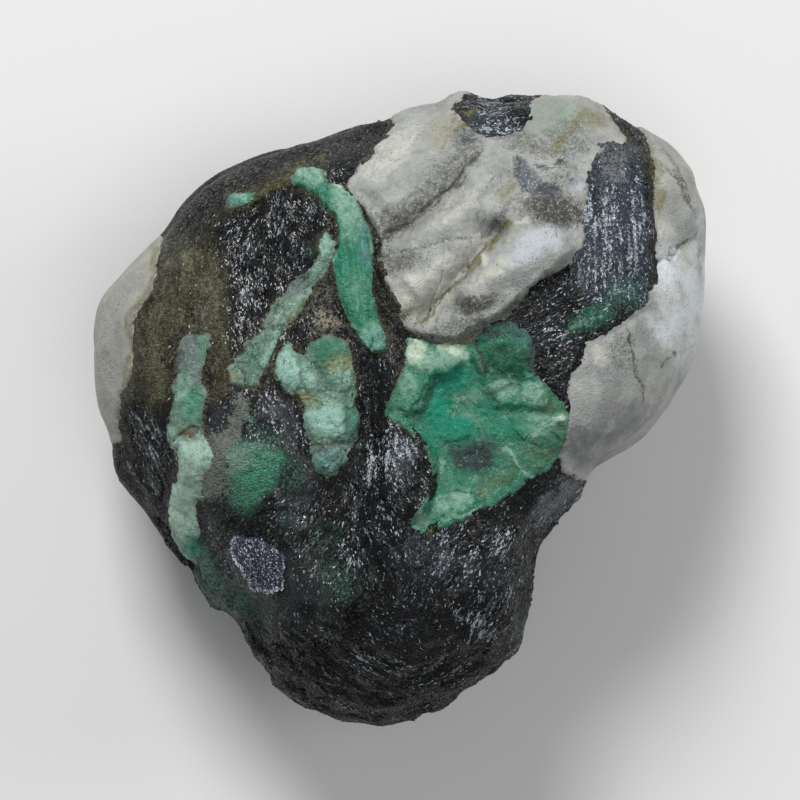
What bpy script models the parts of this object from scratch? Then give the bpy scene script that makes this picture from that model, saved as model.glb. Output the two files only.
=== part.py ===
"""Emerald in matrix: a waterworn cobble of mica schist with milky quartz and emerald crystals grown in it.

The cobble lies on a flat cleavage face. +Z is up, +Y runs from the blunt schist end to the quartz crown,
and the origin is the middle of the stone's box, on the surface that it lies on. Every size is in
millimetres and is turned into metres where a mesh or a curve is made.
"""

import math

import bmesh
import bpy
import numpy as np
from mathutils import Matrix, Vector

MM = 0.001

# Driving dimensions of the cobble
FACE_LEVEL = 26.6  # upper face, before its relief
RIM_LEVEL = 12.5  # the widest level, on average
BACK_DIP = 0.9  # how far the rounded back would reach below the flat it lies on
BACK_BOWL = 0.008  # how fast the back rises from its lowest point, per millimetre
SQUARENESS = 2.7  # 2 is an ellipsoid, more is a flatter face with a fuller shoulder
GAP = 0.3  # left between a crystal and the socket it sits in
ABOVE = 45.0  # a level clear of the whole cobble, where cutters end
WELD = 0.03  # corners that a cut leaves closer together than this become one
FORM_ROUND, FORM_DOWN = 200, 112  # divisions of the sphere that the cobble is shaped from
FORM_FACES = 4600  # triangles kept where the cobble bends most

# The axis that the cobble's outline is measured round
AXIS = (4.6, -0.5)

# Plan outline of the cobble at its widest level, anticlockwise from the quartz flank
OUTLINE = [
    (25.2, 11.9), (25.3, 16.0), (24.7, 18.4), (24.1, 20.2), (22.0, 21.7), (20.0, 22.8), (16.8, 25.0),
    (14.3, 26.0), (10.9, 25.7), (7.5, 25.5), (5.1, 26.0), (3.1, 25.1), (0.9, 24.7), (-0.7, 23.9),
    (-2.8, 23.3), (-6.5, 22.2), (-11.5, 20.7), (-15.1, 19.1), (-17.6, 16.9), (-19.1, 14.8), (-20.8, 13.1),
    (-23.5, 10.5), (-24.9, 8.2), (-25.2, 4.8), (-24.9, 0.5), (-23.8, -2.4), (-23.1, -5.6), (-20.9, -8.2),
    (-19.0, -10.9), (-17.1, -13.2), (-15.8, -15.7), (-14.0, -17.2), (-12.5, -19.2), (-10.9, -21.8),
    (-8.2, -24.1), (-5.3, -25.5), (-3.4, -26.0), (-0.7, -25.8), (2.2, -24.8), (5.5, -23.2), (8.0, -21.4),
    (9.7, -20.0), (10.4, -17.9), (10.9, -15.2), (10.9, -13.4), (11.4, -11.6), (12.9, -9.5), (14.6, -7.3),
    (15.8, -5.2), (17.5, -4.0), (20.4, -1.9), (22.6, 1.1), (24.1, 5.0), (24.9, 8.6),
]  # fmt: skip

# Swellings and hollows of the upper face: x, y, half length along x, along y, turn in degrees, height
SWELLINGS = {
    "crown": (5.5, 15.5, 10.0, 7.5, 40, 2.2),
    "lobe": (-11.5, -8.5, 6.0, 9.0, 12, 2.6),
    "spine": (-0.3, -6.5, 2.2, 6.5, 5, 1.5),
    "blunt end": (2.5, -16.5, 9.0, 5.5, 20, 1.2),
    "flank boss": (17.0, 3.0, 4.0, 5.0, 0, 1.0),
    "fibrous hollow": (-10.3, 12.0, 4.0, 6.0, -10, -1.6),
    "valley": (-2.2, -1.6, 1.0, 4.5, 0, -1.2),
    "heart hollow": (5.5, -1.5, 6.5, 6.0, 0, -0.9),
    "left slope": (-21.2, -5.5, 3.2, 5.5, 25, -3.0),
    "pit": (-16.5, 7.7, 1.0, 2.0, 0, -0.8),
    "nook": (-5.3, 8.0, 1.6, 2.2, 0, -0.9),
    "crown pit": (7.4, 14.4, 1.2, 1.2, 30, -0.7),
    "cluster long grain": (-8.8, 2.9, 0.9, 1.9, 8, 0.6),
    "cluster top grain": (-5.9, 4.6, 1.5, 1.2, 0, 0.8),
    "cluster side grain": (-5.0, 2.4, 1.2, 1.1, 0, 0.5),
    "cluster inner grain": (-7.4, 1.8, 1.0, 1.2, 0, 0.5),
    "cluster great grain": (-5.5, -0.9, 2.0, 2.3, 0, 1.1),
    "cluster low grain": (-5.8, -4.0, 1.4, 1.5, 0, 0.8),
}

# Rolls (raised) and clefts (sunk) that run along a path: height, half width, path
FOLDS = {
    "first roll": (1.2, 2.2, [(-2.4, 16.6), (0.4, 19.6), (3.0, 22.6)]),
    "second roll": (0.9, 1.2, [(-0.3, 12.4), (3.0, 14.8), (5.6, 16.6), (8.2, 20.2)]),
    "inner roll": (0.7, 1.3, [(0.2, 9.4), (3.6, 12.0), (5.6, 14.0)]),
    "third roll": (1.2, 1.6, [(4.6, 8.0), (8.5, 11.0), (14.0, 14.2)]),
    "upper cleft": (-1.6, 1.0, [(-1.7, 13.0), (1.2, 14.9), (4.5, 17.3), (5.3, 19.0), (7.1, 21.2)]),
    "lower cleft": (-1.3, 0.9, [(1.4, 6.4), (4.2, 10.0), (7.1, 13.4), (9.0, 15.4)]),
    "side cleft": (-0.7, 0.8, [(6.2, 16.4), (7.5, 17.7), (8.6, 19.6)]),
    "flank cleft": (-0.9, 1.0, [(20.0, 11.4), (22.0, 12.6), (24.4, 14.6)]),
}

# Ledges, each with its high side on the left of its path: height, how far the raised side fades over, path
LEDGES = {
    "lobe end": (1.9, 5.0, [(-11.8, -18.9), (-8.1, -19.3), (-6.3, -19.6), (-5.1, -19.0), (-4.6, -16.6),
                            (-2.8, -14.7)]),
    "lobe side": (1.5, 3.0, [(-18.0, -2.6), (-18.0, -5.8), (-18.6, -7.9), (-18.5, -10.0), (-17.3, -12.2)]),
    "hollow lip": (0.9, 2.5, [(-14.3, 15.9), (-11.2, 17.0), (-9.3, 18.2), (-7.7, 17.9)]),
    "spine side": (1.2, 2.0, [(1.1, -9.4), (2.4, -7.5), (2.8, -5.0), (2.4, -3.0), (0.5, -1.6)]),
    "flank contact": (0.5, 2.0, [(15.2, 5.4), (18.1, 7.2), (20.3, 8.6), (20.5, 13.0), (20.3, 20.0)]),
    "crown front": (1.2, 3.0, [(0.2, 7.1), (1.6, 6.0), (4.4, 5.6), (8.0, 7.6), (11.9, 10.9), (14.8, 13.8)]),
    "crown side": (0.9, 2.5, [(-3.1, 16.8), (-1.2, 13.5), (-1.6, 12.0), (-1.2, 10.5), (0.2, 7.1)]),
    "lump crust": (0.8, 2.5, [(-19.5, 13.9), (-19.8, 12.0), (-20.5, 8.9), (-22.1, 7.1), (-21.2, 4.4),
                              (-23.0, 1.1)]),
    "heart lip": (0.7, 1.8, [(1.7, -0.9), (1.9, 0.6), (2.7, 2.1), (3.3, 2.9), (5.4, 4.2)]),
    "heart block": (0.5, 2.5, [(5.8, 5.0), (6.8, 2.6), (7.3, 1.0)]),
    "heart foot": (0.5, 2.5, [(7.2, 0.0), (9.8, 0.3), (12.4, -0.2)]),
}  # fmt: skip

# Broken faces that flatten the cobble's underside and shoulders: heading in degrees, slope above or below
# level in degrees, distance from the middle
BREAKS = [
    (18, -34, 22.4), (62, -48, 18.6), (104, -30, 22.2), (150, -50, 16.2), (186, -32, 21.0),
    (226, -46, 16.8), (262, -36, 20.9), (305, -50, 15.4), (338, -30, 19.2), (205, 34, 20.6),
    (330, 38, 19.0), (95, 46, 21.6), (255, 40, 21.8),
]  # fmt: skip
BREAK_EDGE = 0.25  # how rounded the edge of a broken face is
MIDDLE = (0.0, 0.0, 13.0)

# Foliation of the schist, which steps the sides: spacing and depth of the steps, and how their planes dip
STRATA = {"spacing": 6.3, "depth": 0.45, "dip": (0.30, -0.19, 1.0)}

# Crystals and masses that reach the surface, each as its plan outline
QUARTZ_CROWN = [
    (-1.2, 13.5), (-2.2, 15.2), (-3.1, 16.8), (-3.9, 17.9), (-3.4, 19.1), (-2.2, 20.7), (-1.0, 22.0),
    (-0.5, 23.2), (-0.3, 27.0), (6.0, 27.5), (5.2, 25.2), (3.9, 25.0), (3.8, 24.2), (5.2, 22.2),
    (6.5, 21.9), (8.9, 21.9), (10.2, 22.9), (10.8, 24.0), (11.0, 27.5), (16.2, 27.5), (16.5, 24.6),
    (17.4, 23.2), (18.3, 21.8), (18.5, 20.9), (17.4, 21.8), (16.3, 21.3), (15.7, 19.7), (15.1, 17.9),
    (15.0, 15.8), (14.8, 13.8), (13.6, 12.0), (11.9, 10.9), (10.3, 9.9), (9.6, 8.7), (8.1, 7.9),
    (6.6, 6.8), (5.4, 6.0), (3.4, 5.9), (1.7, 6.3), (0.3, 7.4), (-0.6, 8.8), (-1.1, 10.5), (-1.5, 12.0),
]  # fmt: skip
QUARTZ_FLANK = [
    (17.7, 28.0), (17.9, 25.2), (19.1, 23.7), (20.1, 22.2), (20.7, 20.5), (20.9, 18.3), (20.7, 16.6),
    (20.6, 14.6), (20.6, 9.7), (20.4, 8.5), (19.7, 7.8), (18.2, 7.2), (16.4, 6.2), (15.0, 5.4),
    (14.4, 4.0), (13.9, 2.3), (13.7, 0.7), (13.7, -0.9), (13.4, -2.6), (12.9, -3.8), (13.3, -4.9),
    (14.4, -5.5), (16.6, -7.5), (26.0, -6.0), (30.0, 9.0), (29.0, 22.0), (23.0, 28.0),
]  # fmt: skip
QUARTZ_LUMP = [
    (-21.5, 15.5), (-19.4, 13.8), (-19.8, 12.0), (-20.0, 9.7), (-20.6, 8.9), (-22.0, 7.1), (-21.6, 6.0),
    (-21.2, 4.4), (-21.6, 2.7), (-22.6, 1.1), (-23.0, -0.6), (-22.7, -2.6), (-27.0, -4.0), (-29.0, 0.0),
    (-28.0, 8.0), (-25.0, 13.0),
]  # fmt: skip
EMERALD_HEART = [
    (1.1, 5.1), (2.5, 5.2), (3.9, 5.1), (4.8, 4.8), (5.5, 4.3), (6.5, 4.8), (7.4, 5.8), (8.9, 6.7),
    (10.4, 6.7), (10.7, 5.2), (10.9, 3.6), (11.9, 2.3), (12.9, 1.1), (13.2, -0.5), (13.1, -1.8),
    (12.7, -3.0), (12.2, -4.2), (11.5, -5.0), (10.3, -5.5), (8.1, -6.8), (6.6, -7.7), (5.4, -8.7),
    (4.2, -9.0), (2.9, -9.3), (2.1, -9.9), (1.3, -10.0), (1.0, -9.3), (1.7, -8.5), (2.5, -7.4),
    (2.9, -5.2), (2.6, -3.6), (1.9, -2.3), (0.7, -1.8), (-0.2, -1.1), (-0.7, -0.3), (-0.5, 1.1),
    (0.1, 2.6), (0.7, 4.0),
]  # fmt: skip
EMERALD_RIDGE = [
    (-16.3, 5.8), (-15.6, 4.8), (-15.3, 3.1), (-15.7, 1.1), (-15.8, -1.9), (-15.6, -3.4), (-16.0, -5.0),
    (-16.3, -6.7), (-16.5, -8.7), (-16.5, -10.3), (-16.3, -12.4), (-17.1, -12.1), (-17.9, -10.8),
    (-18.5, -9.1), (-18.5, -7.5), (-17.9, -6.0), (-17.9, -4.2), (-18.8, -2.6), (-18.6, -1.3),
    (-18.0, 0.7), (-17.9, 3.0), (-17.9, 4.8), (-17.1, 5.6),
]  # fmt: skip
EMERALD_STRIP = [
    (-6.0, 13.8), (-5.2, 13.4), (-5.4, 12.0), (-6.3, 10.7), (-7.6, 9.0), (-8.7, 7.2), (-9.5, 5.9),
    (-10.5, 4.1), (-11.3, 2.7), (-12.2, 2.2), (-13.2, 2.3), (-13.5, 3.3), (-12.8, 4.8), (-11.8, 6.1),
    (-10.7, 6.9), (-9.7, 8.5), (-8.4, 9.9), (-7.4, 11.2), (-6.4, 12.5),
]  # fmt: skip
EMERALD_CLUSTER = [
    (-8.9, 5.0), (-9.4, 4.0), (-9.5, 2.8), (-9.1, 1.7), (-8.2, 1.0), (-7.9, 0.3), (-7.6, -0.9),
    (-7.6, -1.9), (-7.1, -2.7), (-7.2, -4.2), (-6.4, -5.3), (-5.6, -5.6), (-4.6, -5.0), (-4.0, -3.5),
    (-3.4, -2.6), (-3.3, -0.5), (-3.6, 1.1), (-4.0, 2.3), (-3.8, 3.8), (-4.4, 5.2), (-5.6, 6.1),
    (-7.1, 5.7), (-7.6, 4.7), (-8.2, 4.9),
]  # fmt: skip
EMERALD_CHIP = [(-13.9, 17.4), (-12.0, 17.6), (-12.1, 16.8), (-12.9, 16.2), (-13.9, 16.2)]
MICA_BOOK = [
    (-13.2, -10.2), (-12.2, -10.5), (-11.2, -10.4), (-10.4, -11.0), (-9.1, -11.7), (-9.1, -13.6),
    (-9.4, -14.8), (-10.5, -15.0), (-11.8, -14.4), (-12.8, -13.9), (-13.0, -13.0), (-13.7, -12.4),
    (-13.6, -11.2),
]  # fmt: skip

# The underside of each: its level over the middle of the cobble, and its rise per millimetre along x and y
CROWN_FLOOR = (16.0, -0.10, -0.08)
FLANK_FLOOR = (6.5, -0.12, 0.20)
LUMP_FLOOR = (6.0, -0.12, 0.14)
HEART_FLOOR = (21.5, 0.0, 0.0)
RIDGE_FLOOR = (15.5, 0.0, 0.12)
CLUSTER_FLOOR = (22.5, 0.0, 0.0)
CHIP_FLOOR = (20.0, 0.0, 0.0)

STRIP_THICK, STRIP_PROUD, STRIP_CHAMFER = 2.2, 0.5, 0.35
BOOK_THICK, BOOK_PROUD, BOOK_CHAMFER = 1.6, 0.3, 0.12

# The emerald blade is a six-sided prism, bent and tapered: x, y and the share of its full radius
BLADE = [
    (-6.2, 18.2, 0.60), (-5.3, 17.6, 0.66), (-4.4, 16.3, 0.78), (-3.7, 14.8, 0.93), (-3.4, 12.8, 1.0),
    (-3.4, 10.8, 0.98), (-3.2, 8.9, 0.86), (-2.7, 7.1, 0.70), (-2.2, 5.6, 0.50), (-1.9, 4.7, 0.25),
]  # fmt: skip
BLADE_RADIUS, BLADE_PROUD = 1.5, 0.9
BLADE_ROOT = (-6.6, 18.3, 2.2, 1.1, -18)  # its broken root: x, y, half length, half width, turn in degrees
BLADE_ROOT_PROUD = 0.6


def smooth_loop(points, per_span=8):
    """Points along a closed Catmull-Rom curve through the given ones."""
    p = np.array(points, float)
    before, after, beyond = np.roll(p, 1, 0), np.roll(p, -1, 0), np.roll(p, -2, 0)
    t = (np.arange(per_span) / per_span)[None, :, None]
    p, before, after, beyond = (a[:, None, :] for a in (p, before, after, beyond))
    curve = p + 0.5 * t * (after - before + t * (2 * before - 5 * p + 4 * after - beyond
                           + t * (3 * (p - after) + beyond - before)))  # fmt: skip
    return curve.reshape(-1, 2)


def path_distance(x, y, path):
    """Distance from each point to a path, positive on its left, and how far along it that is, from 0 to 1."""
    nearest, side, along = np.full(x.shape, np.inf), np.ones(x.shape), np.zeros(x.shape)
    points = np.array(path, float)
    lengths = np.hypot(*np.diff(points, axis=0).T)
    walked = 0.0
    for start, end, length in zip(points[:-1], points[1:], lengths):
        step = (end - start) / length
        dx, dy = x - start[0], y - start[1]
        run = np.clip(dx * step[0] + dy * step[1], 0, length)
        away = np.hypot(dx - run * step[0], dy - run * step[1])
        closer = away < nearest
        nearest = np.where(closer, away, nearest)
        side = np.where(closer, np.sign(step[0] * dy - step[1] * dx), side)
        along = np.where(closer, (walked + run) / lengths.sum(), along)
        walked += length
    return nearest * side, along


def ease(value, low, high):
    """0 below low, 1 above high, and an S-curve between."""
    t = np.clip((value - low) / (high - low), 0, 1)
    return t * t * (3 - 2 * t)


def ends_fade(along):
    return ease(along, 0, 0.15) * ease(1 - along, 0, 0.15)


def face_level(x, y):
    """Height of the upper face over a point of the plan, before the shoulder rounds it off."""
    level = np.full(x.shape, FACE_LEVEL)
    for cx, cy, half_x, half_y, turn, height in SWELLINGS.values():
        c, s = math.cos(math.radians(turn)), math.sin(math.radians(turn))
        u = ((x - cx) * c + (y - cy) * s) / half_x
        v = ((y - cy) * c - (x - cx) * s) / half_y
        level += height * np.exp(-(u * u + v * v))
    for height, half_width, path in FOLDS.values():
        away, along = path_distance(x, y, path)
        level += height * np.exp(-((away / half_width) ** 2)) * ends_fade(along)
    for height, fade, path in LEDGES.values():
        away, along = path_distance(x, y, path)
        raised = np.exp(-np.clip(away, 0, None) / fade) * ease(away, -0.5, 0.3)
        level += height * raised * ends_fade(along)
    return level


def outline_radius(turn):
    """How far the outline lies from the axis in each direction."""
    loop = smooth_loop(OUTLINE) - np.array(AXIS)
    angles = np.arctan2(loop[:, 1], loop[:, 0])
    order = np.argsort(angles)
    return np.interp(turn, angles[order], np.hypot(*loop.T)[order], period=2 * math.pi)


def rim_level(turn):
    """The widest level rises and falls as the cobble's edge goes round."""
    return RIM_LEVEL + 1.1 * np.cos(turn - 0.6) + 0.8 * np.cos(2 * turn + 1.0)


def cobble_points(turn, fall):
    """The cobble's surface: turn is the angle round the axis, and fall runs from 0 on top to pi below."""
    out = np.sin(fall) ** (2 / SQUARENESS)
    up = np.abs(np.cos(fall)) ** (2 / SQUARENESS)
    reach = outline_radius(turn) * out
    x, y = AXIS[0] + reach * np.cos(turn), AXIS[1] + reach * np.sin(turn)
    rim = rim_level(turn)
    back = BACK_BOWL * (x * x + y * y) - BACK_DIP
    top_side = fall < math.pi / 2
    z = np.where(top_side, rim + (face_level(x, y) - rim) * up, rim - (rim - back) * up)
    dip = STRATA["dip"]
    band = (x * dip[0] + y * dip[1] + z * dip[2]) / STRATA["spacing"] + 0.25 * np.sin(2 * turn + 0.1 * z)
    band %= 1
    step = STRATA["depth"] * (1 - ease(band, 0, 0.7) + ease(band, 0.7, 1)) * ease(out, 0.5, 0.9)
    inset = step * np.where(top_side, 1 - ease(up, 0.55, 0.8), 1)
    points = np.stack([x - inset * np.cos(turn), y - inset * np.sin(turn), z], 1)
    for heading, slope, reach in BREAKS:
        heading, slope = math.radians(heading), math.radians(slope)
        level = math.cos(slope)
        outwards = np.array([level * math.cos(heading), level * math.sin(heading), math.sin(slope)])
        beyond = (points - MIDDLE) @ outwards - reach
        points -= BREAK_EDGE * np.log1p(np.exp(beyond / BREAK_EDGE))[:, None] * outwards
    return points


def face_point(x, y, lift):
    """A point on the upper face, raised by lift, with the shoulder's rounding."""
    dx, dy = x - AXIS[0], y - AXIS[1]
    turn = np.arctan2([dy], [dx])
    out = min(math.hypot(dx, dy) / outline_radius(turn)[0], 1)
    rim = rim_level(turn)[0]
    up = (1 - out**SQUARENESS) ** (1 / SQUARENESS)
    return Vector((x, y, rim + (face_level(np.array([x]), np.array([y]))[0] - rim) * up + lift))


def face_tilt(x, y, reach=1.5):
    """The turn that lays a flat thing at rest on the upper face there."""
    across = face_point(x + reach, y, 0) - face_point(x - reach, y, 0)
    along = face_point(x, y + reach, 0) - face_point(x, y - reach, 0)
    return Vector((0, 0, 1)).rotation_difference(across.cross(along)).to_matrix().to_4x4()


def collection(name):
    made = bpy.data.collections.new(name)
    bpy.context.scene.collection.children.link(made)
    return made


def material(name, colour, roughness):
    made = bpy.data.materials.new(name)
    made.use_nodes = True
    shader = made.node_tree.nodes["Principled BSDF"]
    shader.inputs["Base Color"].default_value = (*colour, 1)
    shader.inputs["Roughness"].default_value = roughness
    shader.inputs["Metallic"].default_value = 0.0
    return made


def add(name, mesh, group, surface=None):
    obj = bpy.data.objects.new(name, mesh)
    group.objects.link(obj)
    if surface:
        obj.data.materials.append(surface)
    return obj


def add_cutter(name, mesh, group):
    obj = add(name, mesh, group)
    obj.hide_render = True
    obj.display_type = "WIRE"
    return obj


def mesh_of(obj, weld=0.00001):
    """The evaluated mesh of a curve or of an object with modifiers, in world space, its loose caps welded."""
    graph = bpy.context.evaluated_depsgraph_get()
    mesh = bpy.data.meshes.new_from_object(obj.evaluated_get(graph))
    mesh.transform(obj.matrix_world)
    work = bmesh.new()
    work.from_mesh(mesh)
    bmesh.ops.remove_doubles(work, verts=work.verts, dist=weld)
    bmesh.ops.recalc_face_normals(work, faces=work.faces)
    work.to_mesh(mesh)
    work.free()
    bpy.data.objects.remove(obj)
    return mesh


def grown(outline, by):
    """A closed outline moved outwards by a distance, with its corners kept from running away."""
    p = np.array(outline, float)
    area = np.sum(p[:, 0] * np.roll(p[:, 1], -1) - np.roll(p[:, 0], -1) * p[:, 1])
    edge = np.roll(p, -1, 0) - p
    normal = np.stack([edge[:, 1], -edge[:, 0]], 1) / np.hypot(*edge.T)[:, None] * np.sign(area)
    corner = normal + np.roll(normal, 1, 0)
    corner /= np.maximum((corner**2).sum(1, keepdims=True) / 2, 0.5)
    return p + by * corner


def prism(outline, low, high, chamfer=0.0, lean=(0.0, 0.0)):
    """A filled flat outline from low to high, as a mesh. Its underside may lean along x and y."""
    curve = bpy.data.curves.new("outline", "CURVE")
    curve.dimensions = "2D"
    curve.fill_mode = "BOTH"
    curve.extrude = ((high - low) / 2 - chamfer) * MM
    curve.bevel_depth = chamfer * MM
    curve.bevel_resolution = 0
    curve.offset = -chamfer * MM
    spline = curve.splines.new("POLY")
    spline.points.add(len(outline) - 1)
    for point, (x, y) in zip(spline.points, outline):
        point.co = (x * MM, y * MM, 0, 1)
    spline.use_cyclic_u = True
    obj = bpy.data.objects.new("outline", curve)
    bpy.context.scene.collection.objects.link(obj)
    obj.location.z = (low + high) / 2 * MM
    bpy.context.view_layer.update()
    mesh = mesh_of(obj)
    for vert in mesh.vertices:
        if vert.co.z < (low + high) / 2 * MM:
            vert.co.z += lean[0] * vert.co.x + lean[1] * vert.co.y
    return mesh


def cobble_mesh():
    """The whole cobble, shaped from a sphere, thinned to facets and cut flat where it lies."""
    work = bmesh.new()
    bmesh.ops.create_uvsphere(work, u_segments=FORM_ROUND, v_segments=FORM_DOWN, radius=1)
    directions = np.array([v.co[:] for v in work.verts])
    turn = np.arctan2(directions[:, 1], directions[:, 0])
    fall = np.arccos(np.clip(directions[:, 2], -1, 1))
    for vert, place in zip(work.verts, cobble_points(turn, fall)):
        vert.co = Vector(place) * MM
    mesh = bpy.data.meshes.new("cobble")
    work.to_mesh(mesh)
    work.free()
    whole = add("cobble", mesh, bpy.context.scene.collection)
    thin = whole.modifiers.new("facets", "DECIMATE")
    thin.ratio = FORM_FACES / (2 * FORM_ROUND * (FORM_DOWN - 1))
    bpy.context.view_layer.update()
    mesh = mesh_of(whole)
    work = bmesh.new()
    work.from_mesh(mesh)
    every = work.verts[:] + work.edges[:] + work.faces[:]
    cut = bmesh.ops.bisect_plane(work, geom=every, plane_co=(0, 0, 0), plane_no=(0, 0, -1), clear_outer=True)
    rim = [e for e in cut["geom_cut"] if isinstance(e, bmesh.types.BMEdge)]
    bmesh.ops.edgeloop_fill(work, edges=rim)
    bmesh.ops.recalc_face_normals(work, faces=work.faces)
    work.to_mesh(mesh)
    work.free()
    return mesh


def combine(obj, other, operation):
    joint = obj.modifiers.new(other.name, "BOOLEAN")
    joint.operation = operation
    joint.object = other


def welded(obj):
    weld = obj.modifiers.new("weld", "WELD")
    weld.merge_threshold = WELD * MM


def inlaid(name, outline, floor, whole, groups, surface):
    """A mass flush with the cobble's surface: the part of the cobble over its outline and its floor."""
    stone, cutters, sockets = groups
    level, *lean = floor
    keep = add_cutter(name + "_bounds", prism(outline, level, ABOVE, lean=lean), cutters)
    piece = add(name, whole.copy(), stone, surface)
    combine(piece, keep, "INTERSECT")
    welded(piece)
    room = prism(grown(outline, GAP), level - GAP, ABOVE, lean=lean)
    add_cutter(name + "_socket", room, sockets)


def laid_flat(name, outline, sizes, groups, surface):
    """A flat crystal with chamfered edges, let into the face at the tilt that the face has there."""
    stone, _, sockets = groups
    thick, proud, chamfer = sizes
    centre = np.mean(np.array(outline), axis=0)
    local = np.array(outline) - centre
    seat = face_point(centre[0], centre[1], proud)
    place = Matrix.Translation(seat * MM) @ face_tilt(centre[0], centre[1])
    piece = add(name, prism(local, -thick, 0, chamfer), stone, surface)
    piece.matrix_world = place
    socket = add_cutter(name + "_socket", prism(grown(local, GAP), -thick - GAP, 5), sockets)
    socket.matrix_world = place


def grain(name, spot, lift, swell, group):
    """A rounded grain on the face, grown by swell: a coarse sphere, stretched and turned."""
    x, y, half_x, half_y, turn = spot
    depth = min(half_x, half_y) + 0.3
    work = bmesh.new()
    bmesh.ops.create_icosphere(work, subdivisions=2, radius=1)
    size = Matrix.Diagonal(((half_x + swell) * MM, (half_y + swell) * MM, (depth + swell) * MM, 1))
    seat = Matrix.Translation(face_point(x, y, lift - depth) * MM)
    work.transform(seat @ Matrix.Rotation(math.radians(turn), 4, "Z") @ size)
    mesh = bpy.data.meshes.new(name)
    work.to_mesh(mesh)
    work.free()
    return add_cutter(name, mesh, group)


def blade_mesh(swell):
    """The bent six-sided prism, grown by swell, as a mesh."""
    curve = bpy.data.curves.new("blade", "CURVE")
    curve.dimensions = "3D"
    curve.bevel_depth = BLADE_RADIUS * MM
    curve.bevel_resolution = 1
    curve.use_fill_caps = True
    spline = curve.splines.new("POLY")
    spline.points.add(len(BLADE) - 1)
    for point, (x, y, share) in zip(spline.points, BLADE):
        radius = BLADE_RADIUS * share
        spot = face_point(x, y, BLADE_PROUD * math.sqrt(share) - radius)
        point.co = (*(spot * MM), 1)
        point.radius = share + swell / BLADE_RADIUS
        point.tilt = math.radians(30)
    if swell:
        for tip, inner in ((0, 1), (-1, -2)):
            outwards = (spline.points[tip].co - spline.points[inner].co).normalized()
            spline.points[tip].co += outwards * swell * MM
    obj = bpy.data.objects.new("blade", curve)
    bpy.context.scene.collection.objects.link(obj)
    bpy.context.view_layer.update()
    return mesh_of(obj)


def build():
    for obj in list(bpy.data.objects):
        bpy.data.objects.remove(obj)
    stone = collection("emerald_in_matrix")
    cutters, sockets = collection("cutters"), collection("sockets")
    groups = stone, cutters, sockets

    schist = material("mica schist", (0.045, 0.048, 0.052), 0.45)
    quartz = material("milky quartz", (0.62, 0.62, 0.58), 0.40)
    emerald = material("emerald", (0.05, 0.36, 0.22), 0.30)
    pale_emerald = material("pale emerald", (0.33, 0.56, 0.45), 0.45)
    silver_mica = material("silver mica", (0.30, 0.29, 0.36), 0.25)

    whole = cobble_mesh()
    inlaid("quartz_crown", QUARTZ_CROWN, CROWN_FLOOR, whole, groups, quartz)
    inlaid("quartz_flank", QUARTZ_FLANK, FLANK_FLOOR, whole, groups, quartz)
    inlaid("quartz_lump", QUARTZ_LUMP, LUMP_FLOOR, whole, groups, quartz)
    inlaid("emerald_heart", EMERALD_HEART, HEART_FLOOR, whole, groups, emerald)
    inlaid("emerald_ridge", EMERALD_RIDGE, RIDGE_FLOOR, whole, groups, pale_emerald)
    inlaid("emerald_cluster", EMERALD_CLUSTER, CLUSTER_FLOOR, whole, groups, pale_emerald)
    inlaid("emerald_chip", EMERALD_CHIP, CHIP_FLOOR, whole, groups, emerald)
    laid_flat("emerald_strip", EMERALD_STRIP, (STRIP_THICK, STRIP_PROUD, STRIP_CHAMFER), groups, pale_emerald)
    laid_flat("mica_book", MICA_BOOK, (BOOK_THICK, BOOK_PROUD, BOOK_CHAMFER), groups, silver_mica)

    blade = add("emerald_blade", blade_mesh(0), stone, emerald)
    combine(blade, grain("blade_root", BLADE_ROOT, BLADE_ROOT_PROUD, 0, cutters), "UNION")
    welded(blade)
    add_cutter("blade_socket", blade_mesh(GAP), sockets)
    grain("blade_root_socket", BLADE_ROOT, BLADE_ROOT_PROUD + GAP, GAP, sockets)

    matrix = add("schist_matrix", whole, stone, schist)
    for socket in sockets.objects:
        combine(matrix, socket, "DIFFERENCE")
    welded(matrix)


build()
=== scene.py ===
# Emerald in matrix: a waterworn cobble of mica schist with milky quartz and emerald grown in it.
# Lengths are millimetres where no note says otherwise, and makePiece turns them into metres.

import math

import bpy
import numpy as np
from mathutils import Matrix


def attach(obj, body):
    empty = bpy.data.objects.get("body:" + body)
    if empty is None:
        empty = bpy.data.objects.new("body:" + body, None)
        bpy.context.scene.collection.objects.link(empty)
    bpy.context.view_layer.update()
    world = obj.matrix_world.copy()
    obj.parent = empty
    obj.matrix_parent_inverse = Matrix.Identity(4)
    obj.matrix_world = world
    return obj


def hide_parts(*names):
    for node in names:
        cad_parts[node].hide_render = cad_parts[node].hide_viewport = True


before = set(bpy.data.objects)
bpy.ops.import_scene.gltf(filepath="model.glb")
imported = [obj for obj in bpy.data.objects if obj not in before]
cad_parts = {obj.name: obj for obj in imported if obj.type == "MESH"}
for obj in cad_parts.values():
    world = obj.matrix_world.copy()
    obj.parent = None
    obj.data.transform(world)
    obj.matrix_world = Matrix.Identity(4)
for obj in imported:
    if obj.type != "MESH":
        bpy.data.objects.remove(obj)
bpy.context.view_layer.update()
mm = 0.001

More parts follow.
